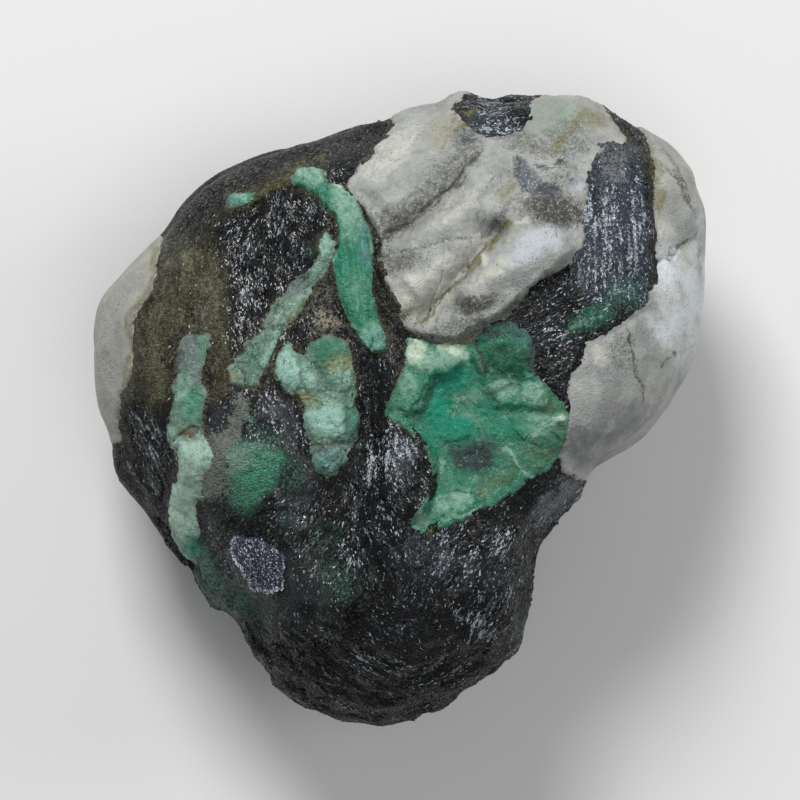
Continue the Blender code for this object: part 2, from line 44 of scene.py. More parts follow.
# The cobble's own form, with the values that its solids have
form = {
    "axis": (4.6, -0.5),
    "face": 26.6,  # level of the upper face, before its relief
    "rim": 12.5,  # the widest level
    "backDip": 0.9,
    "backBowl": 0.008,
    "squareness": 2.7,
    "outline": [
        (25.2, 11.9), (25.3, 16.0), (24.7, 18.4), (24.1, 20.2), (22.0, 21.7), (20.0, 22.8), (16.8, 25.0),
        (14.3, 26.0), (10.9, 25.7), (7.5, 25.5), (5.1, 26.0), (3.1, 25.1), (0.9, 24.7), (-0.7, 23.9),
        (-2.8, 23.3), (-6.5, 22.2), (-11.5, 20.7), (-15.1, 19.1), (-17.6, 16.9), (-19.1, 14.8),
        (-20.8, 13.1), (-23.5, 10.5), (-24.9, 8.2), (-25.2, 4.8), (-24.9, 0.5), (-23.8, -2.4),
        (-23.1, -5.6), (-20.9, -8.2), (-19.0, -10.9), (-17.1, -13.2), (-15.8, -15.7), (-14.0, -17.2),
        (-12.5, -19.2), (-10.9, -21.8), (-8.2, -24.1), (-5.3, -25.5), (-3.4, -26.0), (-0.7, -25.8),
        (2.2, -24.8), (5.5, -23.2), (8.0, -21.4), (9.7, -20.0), (10.4, -17.9), (10.9, -15.2),
        (10.9, -13.4), (11.4, -11.6), (12.9, -9.5), (14.6, -7.3), (15.8, -5.2), (17.5, -4.0),
        (20.4, -1.9), (22.6, 1.1), (24.1, 5.0), (24.9, 8.6),
    ],
    # x, y, half length along x, along y, turn in degrees, height
    "swellings": [
        (5.5, 15.5, 10.0, 7.5, 40, 2.2), (-11.5, -8.5, 6.0, 9.0, 12, 2.6), (-0.3, -6.5, 2.2, 6.5, 5, 1.5),
        (2.5, -16.5, 9.0, 5.5, 20, 1.2), (17.0, 3.0, 4.0, 5.0, 0, 1.0), (-10.3, 12.0, 4.0, 6.0, -10, -1.6),
        (-2.2, -1.6, 1.0, 4.5, 0, -1.2), (5.5, -1.5, 6.5, 6.0, 0, -0.9), (-21.2, -5.5, 3.2, 5.5, 25, -3.0),
        (-16.5, 7.7, 1.0, 2.0, 0, -0.8), (-5.3, 8.0, 1.6, 2.2, 0, -0.9), (7.4, 14.4, 1.2, 1.2, 30, -0.7),
        (-8.8, 2.9, 0.9, 1.9, 8, 0.6), (-5.9, 4.6, 1.5, 1.2, 0, 0.8), (-5.0, 2.4, 1.2, 1.1, 0, 0.5),
        (-7.4, 1.8, 1.0, 1.2, 0, 0.5), (-5.5, -0.9, 2.0, 2.3, 0, 1.1), (-5.8, -4.0, 1.4, 1.5, 0, 0.8),
    ],
    # height, half width, path
    "folds": [
        (1.2, 2.2, [(-2.4, 16.6), (0.4, 19.6), (3.0, 22.6)]),
        (0.9, 1.2, [(-0.3, 12.4), (3.0, 14.8), (5.6, 16.6), (8.2, 20.2)]),
        (0.7, 1.3, [(0.2, 9.4), (3.6, 12.0), (5.6, 14.0)]),
        (1.2, 1.6, [(4.6, 8.0), (8.5, 11.0), (14.0, 14.2)]),
        (-1.6, 1.0, [(-1.7, 13.0), (1.2, 14.9), (4.5, 17.3), (5.3, 19.0), (7.1, 21.2)]),
        (-1.3, 0.9, [(1.4, 6.4), (4.2, 10.0), (7.1, 13.4), (9.0, 15.4)]),
        (-0.7, 0.8, [(6.2, 16.4), (7.5, 17.7), (8.6, 19.6)]),
        (-0.9, 1.0, [(20.0, 11.4), (22.0, 12.6), (24.4, 14.6)]),
    ],
    "ledgeStep": (-0.5, 0.3),  # how far from its path a ledge starts and ends its rise
    # height, how far the raised side fades over, path with the raised side on its left
    "ledges": [
        (1.9, 5.0, [
            (-11.8, -18.9), (-8.1, -19.3), (-6.3, -19.6), (-5.1, -19.0), (-4.6, -16.6), (-2.8, -14.7),
        ]),
        (1.5, 3.0, [(-18.0, -2.6), (-18.0, -5.8), (-18.6, -7.9), (-18.5, -10.0), (-17.3, -12.2)]),
        (0.9, 2.5, [(-14.3, 15.9), (-11.2, 17.0), (-9.3, 18.2), (-7.7, 17.9)]),
        (1.2, 2.0, [(1.1, -9.4), (2.4, -7.5), (2.8, -5.0), (2.4, -3.0), (0.5, -1.6)]),
        (0.5, 2.0, [(15.2, 5.4), (18.1, 7.2), (20.3, 8.6), (20.5, 13.0), (20.3, 20.0)]),
        (1.2, 3.0, [(0.2, 7.1), (1.6, 6.0), (4.4, 5.6), (8.0, 7.6), (11.9, 10.9), (14.8, 13.8)]),
        (0.9, 2.5, [(-3.1, 16.8), (-1.2, 13.5), (-1.6, 12.0), (-1.2, 10.5), (0.2, 7.1)]),
        (0.8, 2.5, [(-19.5, 13.9), (-19.8, 12.0), (-20.5, 8.9), (-22.1, 7.1), (-21.2, 4.4), (-23.0, 1.1)]),
        (0.7, 1.8, [(1.7, -0.9), (1.9, 0.6), (2.7, 2.1), (3.3, 2.9), (5.4, 4.2)]),
        (0.5, 2.5, [(5.8, 5.0), (6.8, 2.6), (7.3, 1.0)]),
        (0.5, 2.5, [(7.2, 0.0), (9.8, 0.3), (12.4, -0.2)]),
    ],
    # heading in degrees, slope above or below level in degrees, distance from the middle
    "breaks": [
        (18, -34, 22.4), (62, -48, 18.6), (104, -30, 22.2), (150, -50, 16.2), (186, -32, 21.0),
        (226, -46, 16.8), (262, -36, 20.9), (305, -50, 15.4), (338, -30, 19.2), (205, 34, 20.6),
        (330, 38, 19.0), (95, 46, 21.6), (255, 40, 21.8),
    ],
    "breakEdge": 0.25,
    "middle": (0.0, 0.0, 13.0),
    "strataSpacing": 6.3,
    "strataDepth": 0.45,
    "strataDip": (0.30, -0.19, 1.0),
    "upperFrom": (9.0, 13.0),  # the levels between which the underside gives way to the upper side
}


# 0 below low, 1 above high, and an S-curve between
def ease(value, low, high):
    t = np.clip((value - low) / (high - low), 0, 1)
    return t * t * (3 - 2 * t)


# 1 on the cobble's upper side, and 0 below its rim
def upperSide(p):
    return ease(p[..., 2], *form["upperFrom"])


# 1 along the middle of a path, and 0 at its ends
def endsFade(along, share=0.15):
    return ease(along, 0, share) * ease(1 - along, 0, share)


# Points along a Catmull-Rom curve: each span is the cubic whose slope at a point is half the step between
# the points either side of it. An open curve has its two ends carried on straight
def smoothCurve(points, perSpan=8, closed=False):
    p = np.array(points, float)
    before, after, beyond = np.roll(p, 1, 0), np.roll(p, -1, 0), np.roll(p, -2, 0)
    if not closed:
        before[0], after[-1] = 2 * p[0] - p[1], 2 * p[-1] - p[-2]
        beyond[-2] = 2 * p[-1] - p[-2]
    t = (np.arange(perSpan) / perSpan)[None, :, None]
    p, before, after, beyond = (a[:, None, :] for a in (p, before, after, beyond))
    curve = p + 0.5 * t * (after - before + t * (2 * before - 5 * p + 4 * after - beyond
                           + t * (3 * (p - after) + beyond - before)))
    flat = curve.reshape(-1, p.shape[2])
    return flat if closed else np.vstack([flat[: (len(points) - 1) * perSpan], points[-1]])


# Distance from each point to a path, positive on its left, and how far along the path that is, from 0 to 1
def pathDistance(x, y, path):
    nearest, side, along = np.full(x.shape, np.inf), np.ones(x.shape), np.zeros(x.shape)
    points = np.array(path, float)
    lengths = np.hypot(*np.diff(points, axis=0).T)
    walked = 0.0
    for start, end, length in zip(points[:-1], points[1:], lengths):
        step = (end - start) / length
        dx, dy = x - start[0], y - start[1]
        run = np.clip(dx * step[0] + dy * step[1], 0, length)
        away = np.hypot(dx - run * step[0], dy - run * step[1])
        closer = away < nearest
        nearest = np.where(closer, away, nearest)
        side = np.where(closer, np.sign(step[0] * dy - step[1] * dx), side)
        along = np.where(closer, (walked + run) / lengths.sum(), along)
        walked += length
    return nearest * side, along


# Distance in from a closed outline. It is positive inside, found by counting the edges that a ray crosses
def loopDistance(x, y, loop):
    nearest, inside = np.full(x.shape, np.inf), np.zeros(x.shape, bool)
    for (ax, ay), (bx, by) in zip(loop, loop[1:] + loop[:1]):
        ex, ey = bx - ax, by - ay
        run = np.clip(((x - ax) * ex + (y - ay) * ey) / (ex * ex + ey * ey), 0, 1)
        nearest = np.minimum(nearest, np.hypot(x - ax - run * ex, y - ay - run * ey))
        if ey:
            inside ^= ((ay > y) != (by > y)) & (x < ax + (y - ay) * ex / ey)
    return np.where(inside, nearest, -nearest)


# An ellipse's own radius at each point: 0 at its centre and 1 on its edge
def ovalRadius(x, y, cx, cy, halfX, halfY, turn):
    c, s = math.cos(math.radians(turn)), math.sin(math.radians(turn))
    return np.hypot(((x - cx) * c + (y - cy) * s) / halfX, ((y - cy) * c - (x - cx) * s) / halfY)


# A ledge's rise: sharp over its step on the left of a path, fading away from it by e for each fade's length
def ledgeRise(x, y, rise, fade, path, step):
    away, along = pathDistance(x, y, path)
    return rise * np.exp(-np.clip(away, 0, None) / fade) * ease(away, *step) * endsFade(along)


# Level of the upper face: bell-shaped swellings, bell-shaped folds along paths, and ledges
def faceLevel(x, y):
    level = np.full(x.shape, form["face"])
    for *oval, height in form["swellings"]:
        level += height * np.exp(-ovalRadius(x, y, *oval) ** 2)
    for height, halfWidth, path in form["folds"]:
        away, along = pathDistance(x, y, path)
        level += height * np.exp(-((away / halfWidth) ** 2)) * endsFade(along)
    for height, fade, path in form["ledges"]:
        level += ledgeRise(x, y, height, fade, path, form["ledgeStep"])
    return level


edgeLoop = smoothCurve(form["outline"], closed=True) - np.array(form["axis"])
edgeTurns = np.arctan2(edgeLoop[:, 1], edgeLoop[:, 0])
edgeOrder = np.argsort(edgeTurns)


# How far the outline is from the axis at each turn
def outlineReach(turn):
    return np.interp(turn, edgeTurns[edgeOrder], np.hypot(*edgeLoop.T)[edgeOrder], period=2 * math.pi)


# The rim's level: it rises and falls by two waves round the axis
def rimLevel(turn):
    return form["rim"] + 1.1 * np.cos(turn - 0.6) + 0.8 * np.cos(2 * turn + 1.0)


# How far out and how far from the rim a squared-off ball is at each fall: the sine and the cosine of the fall
# to the power 2 / squareness
def meridian(fall):
    power = 2 / form["squareness"]
    return np.sin(fall) ** power, np.abs(np.cos(fall)) ** power


# The cobble as a squared-off ball: turn goes round its axis, and fall runs from 0 on top to pi underneath.
# Its sides are stepped by the schist's layers, and flat breaks clip it with a rounded edge
def stonePoints(turn, fall):
    out, up = meridian(fall)
    reach = outlineReach(turn) * out
    x, y = form["axis"][0] + reach * np.cos(turn), form["axis"][1] + reach * np.sin(turn)
    rim = rimLevel(turn)
    back = form["backBowl"] * (x * x + y * y) - form["backDip"]
    topSide = fall < math.pi / 2
    z = np.where(topSide, rim + (faceLevel(x, y) - rim) * up, rim - (rim - back) * up)
    dip = form["strataDip"]
    band = (x * dip[0] + y * dip[1] + z * dip[2]) / form["strataSpacing"] + 0.25 * np.sin(2 * turn + 0.1 * z)
    band %= 1
    step = form["strataDepth"] * (1 - ease(band, 0, 0.7) + ease(band, 0.7, 1)) * ease(out, 0.5, 0.9)
    inset = step * np.where(topSide, 1 - ease(up, 0.55, 0.8), 1)
    points = np.stack([x - inset * np.cos(turn), y - inset * np.sin(turn), z], -1)
    for heading, slope, reach in form["breaks"]:
        heading, slope = math.radians(heading), math.radians(slope)
        level = math.cos(slope)
        outwards = np.array([level * math.cos(heading), level * math.sin(heading), math.sin(slope)])
        beyond = (points - form["middle"]) @ outwards - reach
        points -= form["breakEdge"] * np.log1p(np.exp(beyond / form["breakEdge"]))[..., None] * outwards
    return points


# Points of the upper face over a plan, found by turning x and y back into turn and fall
def facePoints(x, y):
    dx, dy = x - form["axis"][0], y - form["axis"][1]
    turn = np.arctan2(dy, dx)
    out = np.clip(np.hypot(dx, dy) / outlineReach(turn), 0, 0.9999)
    return stonePoints(turn, np.arcsin(out ** (form["squareness"] / 2)))


# A pseudo-random number from 0 to 1 for each corner of a lattice, mixed from its three whole numbers' bits
def latticeRandom(i, j, k, seed):
    n = (i * 73856093 ^ j * 19349663 ^ k * 83492791 ^ seed * 40503) & 0xFFFFFFFF
    n = ((n ^ (n >> 15)) * 1274126177) & 0xFFFFFFFF
    n = ((n ^ (n >> 13)) * 974634777) & 0xFFFFFFFF
    return (n ^ (n >> 16)) / 0xFFFFFFFF


# Smooth noise from -1 to 1 with lumps of a given size: lattice randoms blended by an S-curve each way
def smoothNoise(p, size, seed):
    q = p / size
    low = np.floor(q).astype(np.int64)
    f = q - low
    f = f * f * f * (f * (f * 6 - 15) + 10)
    total = 0
    for i in (0, 1):
        for j in (0, 1):
            for k in (0, 1):
                weight = ((f[..., 0] if i else 1 - f[..., 0]) * (f[..., 1] if j else 1 - f[..., 1])
                          * (f[..., 2] if k else 1 - f[..., 2]))
                corner = low[..., 0] + i, low[..., 1] + j, low[..., 2] + k
                total = total + weight * latticeRandom(*corner, seed)
    return total * 2 - 1


# Layers of smooth noise added up, each about half as large and half as strong as the one before
def layeredNoise(p, size, layers, seed):
    apart, finer, weaker = 7.3, 0.47, 0.55
    total, strength = 0, 1.0
    for layer in range(layers):
        total = total + strength * smoothNoise(p + apart * layer, size, seed + layer)
        size, strength = size * finer, strength * weaker
    return total


# Broken facets: each point takes the tilt and level of its nearest seed in a jittered lattice, so the surface
# is made of flat chips with sharp steps between them. Also how near the point is to a step, 1 on it
def brokenFacets(p, size, seed):
    q = p / size
    low = np.floor(q).astype(np.int64)
    best, second = np.full(q.shape[:-1], 9.0), np.full(q.shape[:-1], 9.0)
    value = np.zeros(q.shape[:-1])
    for i in (-1, 0, 1):
        for j in (-1, 0, 1):
            for k in (-1, 0, 1):
                cell = low + (i, j, k)
                corner = [latticeRandom(cell[..., 0], cell[..., 1], cell[..., 2], seed + n) for n in range(6)]
                offset = q - cell - np.stack(corner[:3], -1)
                far = (offset**2).sum(-1)
                tilt = np.stack(corner[3:], -1) * 2 - 1
                closer = far < best
                second = np.where(closer, best, np.minimum(second, far))
                value = np.where(closer, (offset * tilt).sum(-1) + 0.5 * tilt[..., 0], value)
                best = np.where(closer, far, best)
    return value, 1 - ease(np.sqrt(second) - np.sqrt(best), 0.0, 0.12)


# Noise drawn out along a heading: six fixed headings' own long lumps, blended by how near each is to it
def grainNoise(p, heading, long, short, seed):
    total, weights, headings = 0, 0, 6
    for step in range(headings):
        angle = step * math.pi / headings
        weight = np.clip(np.cos(2 * (heading - angle)), 0, 1) ** 3 + 1e-6
        c, s = math.cos(angle), math.sin(angle)
        q = np.stack([(p[..., 0] * c + p[..., 1] * s) / long, (p[..., 1] * c - p[..., 0] * s) / short,
                      p[..., 2] / (2 * short)], -1)
        total = total + weight * smoothNoise(q, 1.0, seed + step)
        weights = weights + weight
    return total / weights


# How strongly each point lies in a zone, made of oval spots, streaks along paths, and outlined areas
def zoneStrength(x, y, zone):
    total = np.zeros(x.shape)
    for *oval, strength in zone.get("spots", ()):
        total = np.maximum(total, strength * (1 - ease(ovalRadius(x, y, *oval), 0.4, 1.35)))
    for halfWidth, strength, path in zone.get("streaks", ()):
        away = np.abs(pathDistance(x, y, path)[0])
        total = np.maximum(total, strength * (1 - ease(away, 0.3 * halfWidth, 1.4 * halfWidth)))
    for soft, strength, loop in zone.get("areas", ()):
        total = np.maximum(total, strength * ease(loopDistance(x, y, loop), -soft, soft))
    return total


# Each named zone's strength at each point. The zones wander a little, and lie on the upper side only
def zoneValues(p, zones, wander=0.35, seed=5):
    x = p[..., 0] + wander * layeredNoise(p, 1.3, 3, seed)
    y = p[..., 1] + wander * layeredNoise(p, 1.3, 3, seed + 20)
    return {name: zoneStrength(x, y, zone) * upperSide(p) for name, zone in zones.items()}


# What each crystal has, where its own dictionary doesn't say otherwise
plainCrystal = {
    "grow": 0.2,  # how far it passes its outline
    "wander": 0.16, "ragged": 0.11,  # how far its edge wanders, in long waves and in short ones
    "edge": 0.4,  # width of its rounded edge
    "proud": 0.15,  # how far it stands out of the schist
    "tuck": 0.6,  # how far its skirt dips under the schist
    "deep": 1.7,  # its thickness under the face
    "lineShare": 0.6, "lineRise": 0.035,  # strength and height of the fine lines along it
    "relief": {}, "zones": {},
}


# How far inside a crystal's bounds a point lies: in from its outline or up from its floor, whichever is less
def crystalReach(crystal, p):
    wander = crystal["wander"] * layeredNoise(p, 1.4, 3, 90)
    wander = wander + crystal["ragged"] * smoothNoise(p, 0.36, 93)
    x, y, z = p[..., 0], p[..., 1], p[..., 2]
    reach = loopDistance(x, y, crystal["outline"]) + wander + crystal["grow"]
    if "floor" in crystal:
        level, leanX, leanY = crystal["floor"]
        reach = np.minimum(reach, 0.8 * (z - level - leanX * x - leanY * y) + 6 * wander)
    return reach


# Low relief on a piece: lumps of noise, domes, cracks, ledges, raised plates and broken facets
def fineRelief(relief, p):
    warp = relief.get("warp", 0.14)
    x = p[..., 0] + warp * layeredNoise(p, 0.9, 2, 40)
    y = p[..., 1] + warp * layeredNoise(p, 0.9, 2, 60)
    height, crease = np.zeros(x.shape), np.zeros(x.shape)
    for size, rise in relief.get("lumps", ()):
        height += rise * smoothNoise(p, size, int(size * 100))
    dome = np.zeros(x.shape)
    for *oval, rise in relief.get("domes", ()):
        dome = np.maximum(dome, rise * np.sqrt(np.clip(1 - ovalRadius(x, y, *oval) ** 3, 0, 1)))
    height += dome
    for rise, leftWidth, rightWidth, path in relief.get("roofs", ()):
        away = pathDistance(x, y, path)[0]
        height += rise * np.clip(1 - np.where(away > 0, away / leftWidth, -away / rightWidth), 0, 1)
    for deep, halfWidth, path in relief.get("cracks", ()):
        away, along = pathDistance(x, y, path)
        line = np.exp(-((away / halfWidth) ** 2)) * endsFade(along, 0.12)
        line *= 0.45 + 0.55 * ease(smoothNoise(p, 0.7, 78), -0.4, 0.3)
        height -= deep * line
        crease = np.maximum(crease, line)
    for rise, fade, path in relief.get("ledges", ()):
        height += ledgeRise(x, y, rise, fade, path, (-0.12, 0.06))
    for rise, loop in relief.get("plates", ()):
        height += rise * ease(loopDistance(x, y, loop), -0.12, 0.08)
    for size, rise in relief.get("facets", ()):
        chips, step = brokenFacets(p, size, int(size * 100))
        height += rise * chips
        crease = np.maximum(crease, 0.3 * step * ease(smoothNoise(p, 1.1, 77), 0.0, 0.6))
    return height, crease


# Fine lines that run along a path: noise stretched along it and narrow across it, from -1 to 1
def linesAlong(path, p):
    lineWidth, waver, breaks = 0.16, 1.5, 4.0
    away, along = pathDistance(p[..., 0], p[..., 1], path)
    across = away / lineWidth + waver * smoothNoise(p, 1.5, 12)
    return smoothNoise(np.stack([across, along * breaks, 0 * away], -1), 1.0, 9)


# A grid's outward direction at each point: the cross product of its steps along a row and up a column
def gridNormals(points):
    normal = np.cross(np.gradient(points, axis=1), np.gradient(points, axis=0))
    return normal / np.maximum(np.linalg.norm(normal, axis=-1, keepdims=True), 1e-9)


# Falls from low to high spaced evenly along a plain meridian, closer together where crowding is more
def evenFalls(low, high, count, crowding=None):
    halfWidth, halfHeight, samples = 25, 13, 4000
    fall = np.linspace(low, high, samples)
    out, up = meridian(fall)
    out, up = halfWidth * out, np.sign(np.cos(fall)) * halfHeight * up
    steps = np.hypot(np.diff(out), np.diff(up))
    if crowding:
        steps = steps * crowding(out, fall)[:-1]
    walked = np.concatenate([[0], np.cumsum(steps)])
    return np.interp(np.linspace(0, walked[-1], count), walked, fall)


# A piece from points in millimetres and faces of three or four corners, with its values per point
def makePiece(name, points, faces, finish, replaces=None, values=None, smooth=True):
    mesh = bpy.data.meshes.new(name)
    mesh.vertices.add(len(points))
    mesh.vertices.foreach_set("co", (points * mm).astype(np.float32).ravel())
    corners = np.concatenate([part.ravel() for part in faces]).astype(np.int32)
    sizes = np.concatenate([np.full(len(part), part.shape[1]) for part in faces])
    mesh.loops.add(len(corners))
    mesh.loops.foreach_set("vertex_index", corners)
    mesh.polygons.add(len(sizes))
    mesh.polygons.foreach_set("loop_start", np.concatenate([[0], np.cumsum(sizes)[:-1]]).astype(np.int32))
    mesh.polygons.foreach_set("use_smooth", np.full(len(sizes), smooth))
    mesh.update(calc_edges=True)
    for key, value in (values or {}).items():
        mesh.attributes.new(key, "FLOAT", "POINT").data.foreach_set("value", value.astype(np.float32).ravel())
    mesh.materials.append(finish)
    piece = bpy.data.objects.new(name, mesh)
    bpy.context.scene.collection.objects.link(piece)
    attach(piece, "root")
    if replaces:
        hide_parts(replaces)
    triangles = int((sizes - 2).sum())
    print(name, triangles, "triangles")
    return piece


# A closed slab: the kept cells of a grid, the same cells lower down and turned over, and a wall round them
def slabFaces(keep):
    rows, columns = keep.shape[0] + 1, keep.shape[1] + 1
    index = np.arange(rows * columns).reshape(rows, columns)
    a, b, c, d = (part[keep] for part in (index[:-1, :-1], index[:-1, 1:], index[1:, 1:], index[1:, :-1]))
    under = rows * columns
    edges = np.concatenate([np.stack(pair, 1) for pair in ((a, b), (b, c), (c, d), (d, a))])
    key = edges.min(1) * under + edges.max(1)
    _, place, count = np.unique(key, return_inverse=True, return_counts=True)
    rim = edges[count[place.ravel()] == 1]
    wall = np.stack([rim[:, 1], rim[:, 0], rim[:, 0] + under, rim[:, 1] + under], 1)
    return np.concatenate([np.stack([a, b, c, d], 1), np.stack([a, d, c, b], 1) + under, wall])


# A crystal or mass let into the cobble: the cobble's own surface inside its bounds, raised by its relief,
# with its edge tucked under the schist. Its back is the same surface again, lower by its thickness
def makeInlaid(name, crystal, points):
    normal = gridNormals(points)
    reach = crystalReach(crystal, points)
    height, crease = fineRelief(crystal["relief"], points)
    lines = linesAlong(crystal["lines"], points) if "lines" in crystal else 0 * height
    lines *= crystal["lineShare"] * (0.3 + 0.7 * ease(smoothNoise(points, 1.2, 15), -0.4, 0.5))
    height = height + crystal["lineRise"] * lines
    height *= ease(reach, -0.15, crystal["edge"])
    height += crystal["proud"] * ease(reach, 0, crystal["edge"])
    height -= crystal["tuck"] * ease(-reach, -0.05, 0.4)
    upper = points + normal * height[..., None]
    lower = points - normal * crystal["deep"]
    values = zoneValues(points, crystal["zones"])
    values["crease"] = crease
    values["lines"] = 0.5 + 0.5 * lines
    values["edge"] = 1 - ease(reach, -0.05, 0.35)
    corner = reach > -0.4
    keep = corner[:-1, :-1] | corner[:-1, 1:] | corner[1:, 1:] | corner[1:, :-1]
    used, faces = np.unique(slabFaces(keep), return_inverse=True)
    faces = faces.reshape(-1, 4)
    both = np.concatenate([upper.reshape(-1, 3), lower.reshape(-1, 3)])
    both[:, 2] = np.maximum(both[:, 2], 0.05)
    values = {key: np.tile(value.ravel(), 2)[used] for key, value in values.items()}
    return makePiece(name, both[used], [faces], finishes[crystal["slot"]], name, values)


# A part of the cobble's upper face: a plan from its low corner to its high one, in square cells
def planGrid(low, high, cell):
    x = np.arange(low[0], high[0], cell)
    y = np.arange(low[1], high[1], cell)
    return facePoints(*np.meshgrid(x, y))


# A part of the cobble between two turns in degrees and two falls, with rows from the lower fall to the upper
def sideGrid(turns, falls, columns, rows):
    turn = np.radians(np.linspace(turns[0], turns[1], columns))
    fall = evenFalls(falls[1], falls[0], rows)
    return stonePoints(*np.meshgrid(turn, fall))


# The part of the cobble's surface that a crystal is made from
def crystalGrid(crystal):
    return planGrid(*crystal["plan"]) if "plan" in crystal else sideGrid(*crystal["side"])


# A node in a material: its inputs are values, or other nodes' sockets to link
def addNode(tree, kind, inputs=None, **settings):
    made = tree.nodes.new(kind)
    for key, value in settings.items():
        setattr(made, key, value)
    for key, value in (inputs or {}).items():
        if isinstance(value, bpy.types.NodeSocket):
            tree.links.new(value, made.inputs[key])
        else:
            made.inputs[key].default_value = value
    return made


# A material's tree, its shader, and the place on the piece in millimetres
def newFinish(name):
    made = bpy.data.materials.new(name)
    made.use_nodes = True
    tree = made.node_tree
    place = addNode(tree, "ShaderNodeTexCoord").outputs["Object"]
    place = addNode(tree, "ShaderNodeMapping", {"Vector": place, "Scale": (1000, 1000, 1000)}).outputs[0]
    return made, tree, tree.nodes["Principled BSDF"], place


# The first colour blended into the second by a share from 0 to 1
def blendColours(tree, share, first, second):
    mix = addNode(tree, "ShaderNodeMix", data_type="RGBA")
    for socket, value in ((0, share), (6, first), (7, second)):
        if isinstance(value, bpy.types.NodeSocket):
            tree.links.new(value, mix.inputs[socket])
        else:
            mix.inputs[socket].default_value = value if socket == 0 else (*value, 1)
    return mix.outputs[2]


# Two values added, multiplied or worked out in another way
def mathOf(tree, operation, first, second):
    return addNode(tree, "ShaderNodeMath", {0: first, 1: second}, operation=operation).outputs[0]


def times(tree, first, second):
    return mathOf(tree, "MULTIPLY", first, second)


# Noise from 0 to 1 with a number of lumps per millimetre
def noiseAt(tree, place, perMm, detail=3.0, rough=0.6, warp=0.0):
    inputs = {"Vector": place, "Scale": perMm, "Detail": detail, "Roughness": rough, "Distortion": warp}
    return addNode(tree, "ShaderNodeTexNoise", inputs).outputs["Fac"]


# A random value from 0 to 1 for each grain, and how far each point is from its grain's middle
def grainsAt(tree, place, perMm):
    cells = addNode(tree, "ShaderNodeTexVoronoi", {"Vector": place, "Scale": perMm}, feature="F1")
    parts = addNode(tree, "ShaderNodeSeparateColor", {"Color": cells.outputs["Color"]})
    return parts.outputs["Red"], cells.outputs["Distance"]


# Stretches a value so that low becomes first and high becomes second
def stretch(tree, value, low, high, first=0.0, second=1.0):
    inputs = {"Value": value, "From Min": low, "From Max": high, "To Min": first, "To Max": second}
    return addNode(tree, "ShaderNodeMapRange", inputs).outputs[0]


# A value that the piece has at each of its points
def pieceValue(tree, name):
    return addNode(tree, "ShaderNodeAttribute", attribute_name=name).outputs["Fac"]


# A zone's value broken up by noise, so that its edge is mottled and not a soft airbrushed one
def mottled(tree, place, name, perMm=1.6, spread=0.6):
    noise = stretch(tree, noiseAt(tree, place, perMm, 4.0, 0.65), 0.3, 0.7, -spread, spread)
    value = pieceValue(tree, name)
    broken = mathOf(tree, "ADD", value, times(tree, noise, stretch(tree, value, 0.0, 0.3)))
    return mathOf(tree, "MAXIMUM", mathOf(tree, "MINIMUM", broken, 1.0), 0.0)


# Lays each zone's colour over in turn
def layZones(tree, place, colour, zones, perMm, spread):
    for name, tone in zones:
        colour = blendColours(tree, mottled(tree, place, name, perMm, spread), colour, tone)
    return colour


# Lays a colour over where a piece value is high, stronger on some grains than on others
def layGrainy(tree, colour, name, grain, reach, tone):
    share = times(tree, pieceValue(tree, name), stretch(tree, grain, *reach))
    return blendColours(tree, share, colour, tone)


# The greatest of a value and some of the piece's own values
def greatest(tree, value, names):
    for name in names:
        value = mathOf(tree, "MAXIMUM", value, pieceValue(tree, name))
    return value


# Roughness that noise moves between low and high
def addRoughness(tree, shader, place, perMm, low, high):
    rough = stretch(tree, noiseAt(tree, place, perMm), 0.3, 0.7, low, high)
    tree.links.new(rough, shader.inputs["Roughness"])


# Bumps of a depth in millimetres
def addBump(tree, shader, height, deep):
    bump = addNode(tree, "ShaderNodeBump", {"Height": height, "Distance": deep * mm, "Strength": 1.0})
    tree.links.new(bump.outputs[0], shader.inputs["Normal"])


schistFinish = {
    "ground": (0.0035, 0.0038, 0.0042), "grey": (0.012, 0.0135, 0.015),
    "zones": [
        ("slate", (0.034, 0.042, 0.040)),
        ("silver", (0.030, 0.038, 0.046)),
        ("olive", (0.098, 0.096, 0.052)),
        ("taupe", (0.125, 0.12, 0.10)),
        ("teal", (0.060, 0.132, 0.104)),
        ("green", (0.050, 0.22, 0.14)),
        ("worn", (0.032, 0.035, 0.033)),
        ("mint", (0.16, 0.27, 0.215)),
        ("yellow", (0.15, 0.145, 0.045)),
        ("sage", (0.165, 0.188, 0.162)),
        ("ash", (0.165, 0.175, 0.19)),
        ("bone", (0.30, 0.28, 0.21)),
        ("brown", (0.046, 0.036, 0.018)),
        ("hollow", (0.005, 0.005, 0.0055)),
        # the dark zone's streaks are painted shade below ledges and down the valley
        ("dark", (0.006, 0.006, 0.0062)),
        ("rind", (0.070, 0.064, 0.042)),
    ],
    # a stretch of the noise, its share and its colour, for the streaks drawn out in the olive zones
    "oliveStreaks": [(0.50, 0.34, 0.85, (0.030, 0.027, 0.016)), (0.52, 0.66, 0.75, (0.185, 0.185, 0.120))],
    "plain": ("olive", "green", "sage", "mint"),  # zones with fewer dark grains
    "gap": (0.004, 0.004, 0.0045), "fleck": (0.30, 0.31, 0.28),  # dark grains, and what tints the pale ones
}


